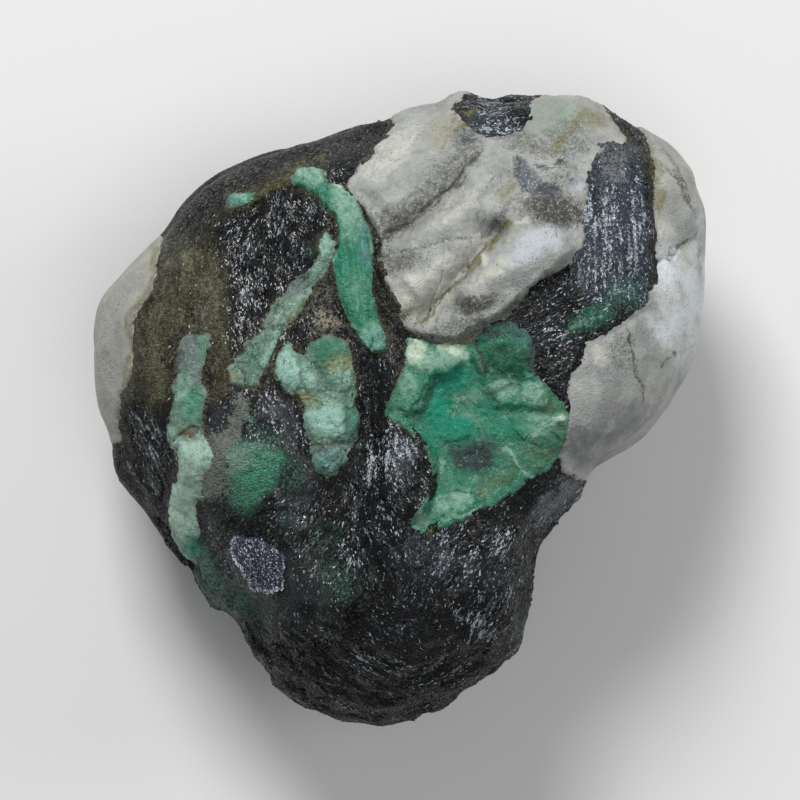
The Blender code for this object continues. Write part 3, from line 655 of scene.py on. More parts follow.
# Schist: near black, clouded with grey, each zone's colour laid over in turn, then streaks, gaps and flecks
def makeSchistFinish():
    made, tree, shader, place = newFinish("mica schist")
    cloud = stretch(tree, noiseAt(tree, place, 1.1, 6.0, 0.7), 0.42, 0.68)
    colour = blendColours(tree, cloud, schistFinish["ground"], schistFinish["grey"])
    colour = layZones(tree, place, colour, schistFinish["zones"], 2.2, 0.5)
    drawn = addNode(tree, "ShaderNodeMapping", {"Vector": place, "Scale": (1.0, 0.30, 0.6)}).outputs[0]
    streak = noiseAt(tree, drawn, 0.75, 5.0, 0.65, 0.8)
    for low, high, share, tone in schistFinish["oliveStreaks"]:
        strength = times(tree, stretch(tree, streak, low, high, 0.0, share), pieceValue(tree, "olive"))
        colour = blendColours(tree, strength, colour, tone)
    grain, middle = grainsAt(tree, place, 6.5)
    plain = stretch(tree, greatest(tree, 0.0, schistFinish["plain"]), 0.0, 1.0, 1.0, 0.45)
    gaps = times(tree, stretch(tree, grain, 0.45, 0.05, 0.0, 0.85), plain)
    colour = blendColours(tree, gaps, colour, schistFinish["gap"])
    flecked = blendColours(tree, 0.25, colour, schistFinish["fleck"])
    colour = blendColours(tree, stretch(tree, grain, 0.70, 0.98), colour, flecked)
    tree.links.new(colour, shader.inputs["Base Color"])
    addRoughness(tree, shader, place, 3.0, 0.36, 0.66)
    shader.inputs["Specular IOR Level"].default_value = 0.2
    smoother = stretch(tree, pieceValue(tree, "worn"), 0.0, 1.0, 1.0, 0.3)
    height = mathOf(tree, "ADD", times(tree, middle, -0.8), times(tree, grain, 0.3))
    height = mathOf(tree, "ADD", height, noiseAt(tree, place, 2.2, 4.0, 0.7))
    addBump(tree, shader, times(tree, height, smoother), 0.22)
    return made


quartzFinish = {
    "milk": (0.37, 0.38, 0.35), "grey": (0.25, 0.26, 0.25),
    "zones": [
        ("beige", (0.30, 0.285, 0.22)),
        # the bright zone is partly the quartz's own cream white and partly painted light on crests that face
        # the lamps
        ("bright", (0.52, 0.53, 0.46)),
        ("cool", (0.42, 0.45, 0.47)),
        # the white zone is partly the flank's own bluish white and partly painted light on the face turned to
        # the lamps
        ("white", (0.62, 0.66, 0.68)),
        ("mint", (0.22, 0.27, 0.22)),
        # the coolShade zone's colour is painted shade, soft and bluish grey
        ("coolShade", (0.16, 0.165, 0.17)),
        # the shade zone's colour is painted shade, laid where slopes, lower ends and walls turn from the
        # light
        ("shade", (0.115, 0.12, 0.105)),
        ("brown", (0.044, 0.040, 0.032)),
        ("slate", (0.10, 0.115, 0.135)),
        ("stain", (0.16, 0.145, 0.05)),
        ("dark", (0.022, 0.025, 0.026)),
    ],
    "cloudy": ("white", "cool", "coolShade"),  # zones with soft, broad clouds
    "glow": 0.0011,  # how far light wanders inside, in metres
    "gritty": ("shade", "brown", "dark", "slate"),  # zones with more dots and more pale grains of frost and painted sparkle; the shade zone among them is painted shade
    "vein": (0.10, 0.105, 0.095), "dot": (0.030, 0.033, 0.030), "frostAndSparkle": (0.66, 0.68, 0.64),
    # the crease colour is painted shade in the cracks, partly dirt
    "crease": (0.065, 0.058, 0.038), "rim": (0.085, 0.08, 0.06),
}


# Milky quartz: clouded, each zone's colour laid over in turn, then veins, dots, frost that is partly painted
# sparkle, creases darkened by painted shade and dirt, and rim
def makeQuartzFinish():
    made, tree, shader, place = newFinish("milky quartz")
    cloud = stretch(tree, noiseAt(tree, place, 0.45, 5.0, 0.6, 0.6), 0.38, 0.64)
    colour = blendColours(tree, cloud, quartzFinish["grey"], quartzFinish["milk"])
    for zone in quartzFinish["zones"]:
        perMm, spread = (0.40, 0.9) if zone[0] in quartzFinish["cloudy"] else (1.8, 0.4)
        colour = layZones(tree, place, colour, [zone], perMm, spread)
    vein = noiseAt(tree, place, 1.9, 5.0, 0.8, 1.0)
    greyer = blendColours(tree, 0.5, colour, quartzFinish["vein"])
    colour = blendColours(tree, stretch(tree, vein, 0.50, 0.64, 0.0, 0.40), colour, greyer)
    grain, middle = grainsAt(tree, place, 9.0)
    grit = greatest(tree, pieceValue(tree, "crease"), quartzFinish["gritty"])
    limit = stretch(tree, grit, 0.0, 0.9, 0.010, 0.30)
    limit = times(tree, limit, stretch(tree, vein, 0.35, 0.62, 0.3, 1.4))
    dots = times(tree, mathOf(tree, "LESS_THAN", grain, limit), 0.6)
    colour = blendColours(tree, dots, colour, quartzFinish["dot"])
    # pale grains of frost, which also stand for painted sparkle
    frostAndSparkle = times(tree, stretch(tree, grain, 0.84, 0.95, 0.0, 0.5), stretch(tree, grit, 0.0, 0.9, 0.2, 0.7))
    colour = blendColours(tree, frostAndSparkle, colour, quartzFinish["frostAndSparkle"])
    # creases darkened by painted shade, partly dirt
    colour = layGrainy(tree, colour, "crease", grain, (0.9, 0.2, 0.1, 0.9), quartzFinish["crease"])
    colour = layGrainy(tree, colour, "edge", grain, (0.9, 0.3, 0.0, 0.8), quartzFinish["rim"])
    tree.links.new(colour, shader.inputs["Base Color"])
    addRoughness(tree, shader, place, 2.0, 0.34, 0.6)
    shader.inputs["Subsurface Weight"].default_value = 0.25
    shader.inputs["Subsurface Radius"].default_value = (1.0, 0.95, 0.85)
    shader.inputs["Subsurface Scale"].default_value = quartzFinish["glow"]
    height = mathOf(tree, "ADD", noiseAt(tree, place, 1.6, 5.0, 0.7), times(tree, middle, -0.3))
    addBump(tree, shader, height, 0.18)
    return made


emeraldFinish = {
    "body": (0.012, 0.140, 0.080), "light": (0.036, 0.20, 0.125),
    "zones": [
        ("light", (0.080, 0.22, 0.145)),
        ("olive", (0.075, 0.130, 0.062)),
        ("teal", (0.06, 0.22, 0.20)),
        ("pale", (0.21, 0.37, 0.28)),
        ("cream", (0.50, 0.62, 0.48)),
        ("silver", (0.035, 0.065, 0.070)),
        ("rust", (0.20, 0.12, 0.045)),
    ],
    "clear": [
        ("deep", (0.0005, 0.210, 0.124)),
        ("night", (0.0001, 0.062, 0.029)),
        ("dark", (0.016, 0.026, 0.028)),
    ],
    "glow": 0.0009,  # how far light wanders inside, in metres
    "specks": 0.45,  # strength of its pale and dark grains
}
paleFinish = {
    "body": (0.072, 0.140, 0.105), "light": (0.165, 0.255, 0.200),
    "zones": [
        ("pale", (0.27, 0.45, 0.385)),
        ("sage", (0.33, 0.47, 0.38)),
        ("teal", (0.085, 0.19, 0.185)),
        ("silver", (0.13, 0.15, 0.145)),
        ("dark", (0.022, 0.030, 0.028)),
        ("stain", (0.22, 0.24, 0.10)),
        ("rust", (0.11, 0.085, 0.04)),
    ],
    "clear": [("green", (0.030, 0.150, 0.085)), ("vivid", (0.010, 0.24, 0.14))],
    "glow": 0.0008, "specks": 0.75,
}
# What tints the frost, which is partly painted sparkle, and the dark grains of both emeralds, and their rims,
# and their creases with painted shade and dirt
emeraldMarks = {
    "frostAndSparkle": (0.48, 0.76, 0.61), "grain": (0.012, 0.024, 0.014),
    "rim": (0.07, 0.072, 0.036), "crease": (0.03, 0.045, 0.02),
    "clearShare": 0.96,
}


# Emerald: a cloudy body, the zones over it, frosted scratches and pale grains that are partly painted glints,
# dark grains, and light let a little way in.
# The clear zones are laid over the grains, so that they have none
def makeEmeraldFinish(name, tones):
    made, tree, shader, place = newFinish(name)
    cloud = stretch(tree, noiseAt(tree, place, 0.8, 5.0, 0.65, 0.8), 0.38, 0.64)
    colour = blendColours(tree, cloud, tones["body"], tones["light"])
    colour = layZones(tree, place, colour, tones["zones"], 1.6, 0.5)
    lighter = blendColours(tree, 0.5, colour, emeraldMarks["frostAndSparkle"])
    darker = blendColours(tree, 0.8, colour, emeraldMarks["grain"])
    vein = noiseAt(tree, place, 2.4, 4.0, 0.75, 1.2)
    colour = blendColours(tree, stretch(tree, vein, 0.54, 0.72, 0.0, 0.40), colour, lighter)
    colour = blendColours(tree, stretch(tree, vein, 0.44, 0.28, 0.0, 0.60), colour, darker)
    grain, middle = grainsAt(tree, place, 7.5)
    clump = noiseAt(tree, place, 1.0, 3.0)
    clump = stretch(tree, clump, 0.42, 0.64, 0.1 * tones["specks"], tones["specks"])
    # pale grains in clumps, partly painted glints
    colour = blendColours(tree, times(tree, stretch(tree, grain, 0.80, 0.94), clump), colour, lighter)
    colour = blendColours(tree, times(tree, stretch(tree, grain, 0.14, 0.06), clump), colour, darker)
    for zone, tone in tones["clear"]:
        clear = times(tree, mottled(tree, place, zone, 1.6, 0.35), emeraldMarks["clearShare"])
        colour = blendColours(tree, clear, colour, tone)
    scratch = mathOf(tree, "SUBTRACT", noiseAt(tree, place, 2.6, 1.5, 0.5, 1.5), 0.5)
    scratch = stretch(tree, mathOf(tree, "ABSOLUTE", scratch, 0.0), 0.045, 0.010)
    scratch = times(tree, scratch, stretch(tree, noiseAt(tree, place, 1.5, 3.0), 0.52, 0.64, 0.0, 0.5))
    colour = blendColours(tree, scratch, colour, lighter)
    lines = pieceValue(tree, "lines")
    colour = blendColours(tree, stretch(tree, lines, 0.58, 0.9, 0.0, 0.5), colour, lighter)
    colour = blendColours(tree, stretch(tree, lines, 0.42, 0.1, 0.0, 0.5), colour, darker)
    colour = layGrainy(tree, colour, "edge", grain, (0.9, 0.3, 0.0, 0.8), emeraldMarks["rim"])
    # creases darkened by painted shade, partly dirt
    colour = layGrainy(tree, colour, "crease", grain, (0.9, 0.3, 0.2, 0.8), emeraldMarks["crease"])
    tree.links.new(colour, shader.inputs["Base Color"])
    addRoughness(tree, shader, place, 2.6, 0.14, 0.38)
    shader.inputs["Specular IOR Level"].default_value = 0.3
    shader.inputs["Subsurface Weight"].default_value = 0.25
    shader.inputs["Subsurface Radius"].default_value = (0.5, 1.0, 0.8)
    shader.inputs["Subsurface Scale"].default_value = tones["glow"]
    height = mathOf(tree, "ADD", noiseAt(tree, place, 1.8, 5.0, 0.75), times(tree, middle, -0.25))
    addBump(tree, shader, height, 0.20)
    return made


scaleFinish = {
    # bright is the colour of the painted glints
    "dark": (0.004, 0.0045, 0.005), "bright": (0.64, 0.70, 0.76),
    "tints": [("olive", (0.10, 0.085, 0.035)), ("silver", (0.08, 0.11, 0.15)), ("green", (0.06, 0.26, 0.17))],
    "tintShare": 0.30,
}
bookFinish = {**scaleFinish, "dark": (0.022, 0.025, 0.048), "bright": (0.84, 0.88, 1.0)}


# Mica scales: each has a shade from dark to bright, where the bright ones are painted glints, tinted by the
# zone that it lies in
def makeScaleFinish(name, tones):
    made, tree, shader, place = newFinish(name)
    colour = blendColours(tree, pieceValue(tree, "shade"), tones["dark"], tones["bright"])
    for zone, tone in tones["tints"]:
        colour = blendColours(tree, times(tree, pieceValue(tree, zone), tones["tintShare"]), colour, tone)
    tree.links.new(colour, shader.inputs["Base Color"])
    addRoughness(tree, shader, place, 5.0, 0.14, 0.34)
    shader.inputs["Specular IOR Level"].default_value = 0.35
    return made


finishes = {
    "schist": makeSchistFinish(),
    "quartz": makeQuartzFinish(),
    "emerald": makeEmeraldFinish("emerald", emeraldFinish),
    "pale_emerald": makeEmeraldFinish("pale emerald", paleFinish),
    "scales": makeScaleFinish("mica scales", scaleFinish),
    "silver_mica": makeScaleFinish("silver mica", bookFinish),
}
print("finishes ready")

crownCleft = [(1.7, 6.8), (3.1, 8.6), (5.1, 10.6), (6.8, 12.6), (8.0, 13.9), (9.0, 15.3)]
flankCrack = [(20.2, 11.7), (21.9, 12.3), (23.7, 14.0)]
crown = {
    **plainCrystal, "slot": "quartz",
    "side": ((50, 123), (0.12, 1.95), 230, 230),
    "grow": 0.25, "edge": 0.35,
    "outline": [
        (-1.2, 13.5), (-2.2, 15.2), (-3.1, 16.8), (-3.9, 17.9), (-3.4, 19.1), (-2.2, 20.7), (-1.0, 22.0),
        (-0.5, 23.2), (-0.3, 27.0), (6.0, 27.5), (5.2, 25.2), (4.2, 25.0), (4.3, 24.2), (5.4, 22.6),
        (6.9, 21.7), (8.4, 21.5), (10.2, 22.4), (10.8, 24.0), (11.0, 27.5), (16.2, 27.5), (16.5, 24.6),
        (17.4, 23.2), (18.3, 21.8), (18.5, 20.9), (17.4, 21.8), (16.3, 21.3), (15.7, 19.7), (15.1, 17.9),
        (15.0, 15.8), (14.8, 13.8), (13.6, 12.0), (11.9, 10.9), (10.3, 9.7), (9.6, 8.4), (8.4, 7.3),
        (6.8, 6.2), (5.4, 5.3), (3.4, 5.3), (1.7, 5.8), (0.3, 7.1), (-0.6, 8.8), (-1.1, 10.5),
        (-1.5, 12.0),
    ],
    "floor": (16.0, -0.10, -0.08), "proud": 0.06, "wander": 0.2,
    "relief": {
        "lumps": [(2.6, 0.10), (1.1, 0.07), (0.45, 0.04)],
        "facets": [(1.3, 0.05), (0.55, 0.03)],
        "cracks": [
            (0.25, 0.16, [
                (-1.7, 13.8), (-0.6, 14.2), (1.2, 15.2), (2.4, 16.4), (4.4, 17.9), (5.4, 19.4),
                (7.2, 21.4),
            ]),
            (0.12, 0.09, crownCleft),
            (0.12, 0.10, [(-1.0, 12.6), (1.0, 12.6), (3.2, 13.4), (4.5, 13.6), (6.2, 13.7)]),
            (0.15, 0.10, [(9.2, 20.6), (9.4, 19.0), (10.2, 17.5), (11.8, 16.7)]),
        ],
    },
    "zones": {
        # bright: partly whiter quartz, partly painted light along the crests of the rolls
        "bright": {"spots": [
            (-0.6, 20.9, 1.4, 3.2, -42, 0.65), (4.8, 16.6, 3.4, 0.9, 44, 0.4),
            (3.6, 11.6, 3.0, 1.0, 30, 0.9), (2.2, 9.7, 2.8, 1.9, 30, 1.0), (6.8, 12.1, 0.5, 0.6, 0, 1.0),
            (9.8, 15.1, 0.7, 0.35, 0, 0.9), (6.3, 13.6, 0.6, 0.35, 0, 0.9), (7.4, 10.9, 3.2, 0.7, 26, 0.5),
        ]},
        "cool": {"spots": [
            (11.0, 13.2, 3.0, 1.3, 30, 1.0), (12.9, 20.5, 2.4, 2.6, 0, 0.25),
            (13.9, 17.9, 0.9, 1.0, 0, 0.8),
        ]},
        "beige": {"spots": [
            (3.6, 22.6, 1.6, 1.4, 50, 0.7), (0.4, 8.4, 1.4, 1.2, 0, 0.8), (11.9, 22.4, 2.2, 2.4, 0, 0.5),
        ]},
        # shade: painted shade on the crown's slopes, lower ends and front wall over the heart, where they
        # turn from the light
        "shade": {
            "streaks": [
                (0.7, 0.9, [(-0.4, 6.4), (1.6, 5.4), (4.4, 5.0), (6.8, 5.8), (9.8, 8.2), (12.0, 10.6)]),
                (1.2, 0.7, [(-2.2, 14.4), (-0.2, 15.2), (1.6, 16.6), (3.7, 18.6), (5.6, 21.0)]),
                (0.7, 0.6, [(9.6, 21.6), (11.6, 21.0), (13.8, 21.8)]),
            ],
            "spots": [
                (-1.1, 12.2, 1.0, 1.2, 0, 0.8), (0.3, 12.0, 1.4, 0.7, 0, 0.5),
                (13.6, 21.6, 1.8, 1.6, 0, 0.6), (6.2, 8.4, 2.2, 0.7, 6, 1.0), (5.0, 6.6, 3.4, 1.0, 8, 0.6),
                (12.4, 18.8, 2.0, 1.6, 0, 0.4), (0.2, 11.8, 1.5, 0.9, 20, 0.8),
            ],
        },
        "mint": {"spots": [(12.6, 23.4, 2.8, 2.2, -20, 0.9), (5.2, 6.2, 2.6, 0.8, 8, 0.6)]},
        "brown": {"spots": [
            (12.4, 15.9, 3.1, 1.5, -12, 1.0), (7.9, 14.6, 1.3, 0.8, 45, 0.4),
            (10.6, 18.9, 0.9, 0.8, 0, 0.5), (0.2, 7.4, 0.9, 0.6, 0, 0.6),
        ]},
        "slate": {
            "areas": [(0.2, 1.0, [
                (9.3, 20.7), (10.2, 20.2), (11.3, 18.6), (12.4, 18.3), (12.6, 17.3), (12.0, 16.8),
                (10.8, 17.2), (9.9, 17.7), (9.2, 19.2),
            ])],
            "spots": [(13.9, 18.3, 0.45, 0.35, 0, 0.8), (5.0, 22.0, 0.9, 1.2, -30, 0.5)],
        },
        "stain": {
            "streaks": [
                (0.14, 0.9, crownCleft),
                (0.4, 0.5, [(-0.2, 6.6), (1.6, 5.5), (4.4, 5.1), (7.0, 6.0)]),
                (0.35, 0.7, [(12.6, 21.0), (14.1, 22.8), (15.1, 23.8)]),
                (0.2, 0.4, [(3.2, 21.0), (4.0, 22.2), (4.4, 23.6)]),
            ],
            "spots": [
                (7.8, 13.2, 0.8, 0.35, 40, 0.9), (8.5, 17.3, 1.1, 0.9, 30, 0.6),
                (15.8, 23.5, 1.4, 0.8, -30, 0.6), (5.6, 23.7, 0.7, 0.4, 0, 1.0),
                (5.2, 22.6, 0.6, 0.4, 0, 0.8), (1.0, 7.6, 0.9, 0.6, 0, 0.4),
            ],
        },
        "dark": {
            "streaks": [
                (0.12, 0.9, [(10.9, 19.8), (12.4, 19.7), (13.4, 19.8)]),
                # the dark line down the upper cleft is partly painted shade in the cleft
                (0.16, 0.6, [(-1.6, 13.9), (1.2, 15.1), (4.4, 17.8), (6.2, 20.4)]),
            ],
            "spots": [
                (13.2, 20.0, 0.4, 0.45, 0, 0.9), (12.0, 17.5, 0.9, 0.7, -20, 0.8),
                (9.4, 19.6, 0.25, 1.0, 0, 0.6), (8.7, 15.4, 0.2, 0.2, 0, 0.7),
                (11.8, 17.6, 0.8, 0.6, 0, 0.7), (5.9, 21.9, 1.0, 0.7, 30, 0.6),
                (8.7, 16.0, 0.3, 0.6, -30, 0.4),
            ],
        },
    },
}
flank = {
    **plainCrystal, "slot": "quartz",
    "side": ((-36, 70), (0.34, 2.35), 230, 220),
    "outline": [
        (17.7, 28.0), (17.9, 25.2), (19.1, 23.7), (20.1, 22.2), (20.7, 20.5), (20.9, 18.3), (20.7, 16.6),
        (20.6, 14.6), (20.6, 9.7), (20.4, 8.5), (19.7, 7.8), (18.2, 7.2), (16.4, 6.2), (15.0, 5.4),
        (14.4, 4.0), (13.9, 2.3), (13.7, 0.7), (13.7, -0.9), (13.4, -2.6), (12.9, -3.8), (13.3, -4.9),
        (14.4, -5.5), (16.6, -7.5), (26.0, -6.0), (30.0, 9.0), (29.0, 22.0), (23.0, 28.0),
    ],
    "floor": (6.5, -0.12, 0.20), "proud": 0.10,
    "relief": {
        "lumps": [(4.0, 0.22), (1.5, 0.06)],
        "cracks": [
            (0.2, 0.12, flankCrack),
            (0.10, 0.10, [(18.4, 6.3), (18.9, 4.0), (19.6, 1.2)]),
            (0.15, 0.12, [(21.0, 20.0), (22.6, 18.4), (23.4, 16.2)]),
        ],
    },
    "zones": {
        # bright: partly whiter quartz, partly painted light where the flank faces the light
        "bright": {
            "spots": [
                (21.6, 10.6, 0.9, 1.0, 0, 0.7), (21.6, 14.2, 0.9, 1.1, 0, 0.7),
                (16.2, 4.2, 0.7, 0.9, 0, 0.5),
            ],
            "areas": [(0.8, 0.5, [
                (20.4, 11.6), (24.0, 13.6), (25.5, 9.0), (24.0, 3.0), (21.6, 4.4), (20.6, 8.4),
            ])],
        },
        # white: partly whiter quartz, partly painted light on the flank's main face
        "white": {"areas": [(1.8, 0.8, [
            (20.2, 11.8), (24.4, 13.4), (26.0, 8.0), (23.6, 4.2), (21.4, 5.4), (20.9, 8.4),
        ])]},
        "cool": {
            "spots": [(22.6, 8.0, 2.4, 4.4, 0, 0.8)],
            "streaks": [(0.8, 0.5, [(24.6, 15.0), (24.8, 8.0)])],
        },
        # shade: painted shade on the flank's lower part
        "shade": {"spots": [(18.0, 4.6, 1.4, 1.6, 0, 0.4)]},
        # coolShade: painted shade on the flank's lower part, where it turns from the light
        "coolShade": {"spots": [(15.6, -2.9, 2.6, 2.0, 30, 0.9), (18.4, -0.8, 3.6, 1.6, 30, 0.5)]},
        "beige": {"spots": [(22.4, 18.6, 1.8, 2.8, 0, 0.3)]},
        "brown": {"streaks": [
            (0.22, 0.5, [(21.6, 21.0), (23.0, 18.0), (23.6, 16.0)]),
            (0.14, 0.5, flankCrack),
        ]},
        "stain": {"streaks": [(0.3, 0.6, [(20.4, 21.4), (21.0, 19.0), (20.9, 16.0)])]},
        "dark": {
            "spots": [(22.1, 4.4, 0.22, 0.3, -30, 0.9), (18.9, 4.6, 0.2, 0.3, 0, 0.6)],
            "streaks": [
                (0.09, 0.9, [(18.4, 6.3), (18.9, 4.0), (19.7, 0.8)]),
                (0.08, 0.7, [(21.3, 3.5), (22.2, 4.5)]),
            ],
        },
    },
}
lump = {
    **plainCrystal, "slot": "quartz", "side": ((146, 190), (1.0, 2.3), 130, 130),
    "outline": [
        (-21.5, 15.5), (-19.4, 13.8), (-19.8, 12.0), (-20.0, 9.7), (-20.6, 8.9), (-22.0, 7.1),
        (-21.6, 6.0), (-21.2, 4.4), (-21.6, 2.7), (-22.6, 1.1), (-23.0, -0.6), (-22.7, -2.6),
        (-27.0, -4.0), (-29.0, 0.0), (-28.0, 8.0), (-25.0, 13.0),
    ],
    "floor": (6.0, -0.12, 0.14), "proud": 0.05,
    "relief": {"lumps": [(4.0, 0.12), (1.2, 0.03)]},
    "zones": {
        "beige": {"areas": [(1.0, 0.35, [(-26, -4), (-19, -4), (-19, 16), (-26, 16)])]},
        "stain": {"streaks": [(0.3, 0.6, [
            (-19.8, 13.2), (-20.2, 9.8), (-22.0, 7.3), (-21.4, 4.4), (-22.6, 1.3),
        ])]},
    },
}
heart = {
    **plainCrystal, "slot": "emerald", "plan": ((-1.4, -10.8), (14.0, 7.4), 0.09),
    "outline": [
        (0.9, 5.4), (2.0, 5.3), (3.0, 4.9), (3.9, 5.3), (5.0, 5.0), (6.0, 5.4), (7.2, 6.4), (8.9, 6.8),
        (10.5, 6.3), (10.8, 5.2), (10.7, 3.8), (10.6, 2.4), (12.0, 1.8), (12.9, 1.0), (13.5, -0.3),
        (13.4, -1.6), (12.9, -3.4), (12.0, -4.8), (10.7, -5.4), (8.9, -6.7), (7.4, -7.6), (6.1, -8.5),
        (4.6, -8.9), (3.0, -9.2), (1.9, -10.0), (1.1, -9.9), (1.0, -9.3), (2.0, -8.1), (2.7, -6.7),
        (3.0, -4.8), (2.6, -3.3), (1.7, -1.8), (0.4, -1.3), (-0.8, -0.5), (-0.5, 0.9), (0.1, 2.3),
        (0.6, 3.4), (0.9, 4.5),
    ],
    "proud": 0.05, "edge": 0.35, "grow": 0.3, "wander": 0.16,
    "relief": {
        "warp": 0.2,
        "lumps": [(2.2, 0.14), (0.9, 0.08), (0.35, 0.03)],
        "facets": [(1.5, 0.06), (0.6, 0.05)],
        "ledges": [(0.34, 1.7, [(0.4, -1.1), (1.5, 1.1), (2.4, 2.2), (3.6, 3.0), (4.6, 3.8), (5.4, 4.3)])],
        "cracks": [
            (0.15, 0.09, [(6.0, 5.8), (6.7, 4.2), (7.1, 2.1)]),
            (0.12, 0.10, [(2.8, -7.0), (4.6, -6.6), (6.6, -7.2)]),
        ],
        "plates": [(0.08, [(7.0, 4.3), (8.9, 4.6), (10.6, 4.2), (10.5, 2.5), (8.9, 2.3), (7.1, 2.5)])],
        "domes": [
            (8.5, 1.4, 1.2, 1.0, 0, 0.10), (10.9, 1.3, 1.1, 0.8, 0, 0.12), (4.6, -7.4, 1.7, 1.2, 20, 0.15),
            (6.3, 0.6, 1.1, 1.2, 0, 0.10), (10.6, -3.4, 1.8, 1.5, 20, 0.10), (4.3, -1.2, 1.6, 1.5, 0, 0.2),
            (13.0, -0.8, 0.6, 0.6, 0, 0.2),
        ],
    },
    "zones": {
        "deep": {"spots": [
            (3.2, 0.4, 1.0, 2.4, -12, 1.0), (4.3, 2.5, 1.5, 1.0, 30, 1.0), (4.4, -1.6, 2.0, 1.2, 0, 1.0),
            (2.6, -2.6, 0.8, 1.2, 0, 0.6), (6.9, -0.2, 1.2, 0.8, 0, 0.4), (8.8, -1.6, 1.6, 1.1, 0, 0.5),
            (5.9, 3.6, 0.6, 1.0, 0, 0.5),
        ]},
        "light": {"spots": [
            (0.4, 0.6, 0.9, 1.8, -20, 0.5), (6.4, 0.9, 0.8, 0.7, 0, 0.5), (3.4, -5.4, 0.6, 1.2, 0, 0.5),
            (8.4, -3.6, 1.4, 0.6, -30, 0.5), (10.6, -1.4, 2.4, 1.4, 0, 0.5), (7.4, -1.0, 1.6, 0.8, 0, 0.3),
            (10.9, -3.6, 1.6, 1.2, 20, 0.4),
        ]},
        "night": {"areas": [(0.4, 1.0, [
            (6.9, 5.2), (8.9, 5.3), (10.6, 4.9), (10.4, 2.5), (8.9, 2.4), (7.2, 2.5),
        ])]},
        "olive": {
            "spots": [
                (11.1, -3.4, 1.9, 1.5, 20, 0.5), (7.6, -5.8, 2.2, 0.9, 30, 0.7),
                (12.6, 1.2, 0.9, 0.7, 0, 0.6), (6.4, 3.5, 0.6, 1.1, 0, 0.8),
                (12.2, 0.0, 1.0, 0.5, -10, 0.8), (1.2, -9.6, 0.6, 0.5, 0, 0.6),
            ],
            "streaks": [
                (0.3, 0.6, [(13.4, 0.6), (13.3, -3.0)]),
                (0.25, 0.5, [(0.6, 5.1), (0.2, 3.0), (-0.7, 0.4)]),
            ],
        },
        "pale": {
            "areas": [(0.5, 0.95, [
                (0.9, 5.4), (1.9, 5.3), (2.6, 4.8), (3.9, 5.3), (4.6, 4.9), (5.4, 4.3), (4.6, 3.8),
                (3.4, 3.2), (2.2, 3.0), (1.2, 3.2), (0.6, 3.6),
            ])],
            "spots": [
                (8.3, 1.7, 1.4, 1.0, 0, 0.8), (10.8, 1.2, 1.1, 0.9, 0, 0.95),
                (4.6, -7.3, 1.7, 0.9, 20, 0.75), (0.7, 2.2, 0.8, 1.2, 0, 0.45),
                (5.3, 1.0, 0.9, 0.8, 0, 0.55), (5.4, -0.7, 1.1, 0.7, 0, 0.35),
                (1.8, -8.9, 0.7, 1.0, -40, 0.8), (11.3, -1.3, 1.5, 1.0, 0, 0.6),
                (3.4, -4.6, 0.4, 0.6, 0, 0.6),
            ],
            "streaks": [
                (0.14, 0.9, [(8.5, -3.3), (9.6, -4.6), (10.7, -5.3)]),
                (0.2, 0.7, [(3.8, -8.8), (5.1, -8.4), (6.2, -8.4)]),
            ],
        },
        "cream": {"spots": [
            (1.4, 4.7, 0.9, 1.1, -20, 1.0), (4.3, 4.8, 1.3, 0.5, -15, 1.0), (13.1, -0.8, 0.6, 0.5, 0, 1.0),
        ]},
        "dark": {
            "spots": [
                (6.1, -3.7, 2.2, 1.5, 12, 1.0), (5.4, -4.2, 1.1, 1.0, 0, 1.0),
                (10.9, 4.2, 0.5, 1.6, 0, 0.9), (5.3, -5.0, 0.5, 0.5, 0, 0.5),
            ],
            "streaks": [
                # these streaks are painted shadow: under the lip's ledge, and beside the crack where the
                # right block stands higher
                (0.35, 0.45, [(3.0, 2.3), (2.2, 1.0), (1.2, -0.9)]),
                (0.16, 0.8, [(6.0, 5.8), (6.7, 4.2), (7.1, 2.6)]),
            ],
        },
        "silver": {
            "streaks": [(0.7, 0.7, [(7.2, 6.2), (9.0, 6.5), (10.8, 5.8), (10.9, 3.6)])],
            "spots": [(6.1, -4.2, 0.8, 0.6, 0, 0.5)],
        },
    },
}
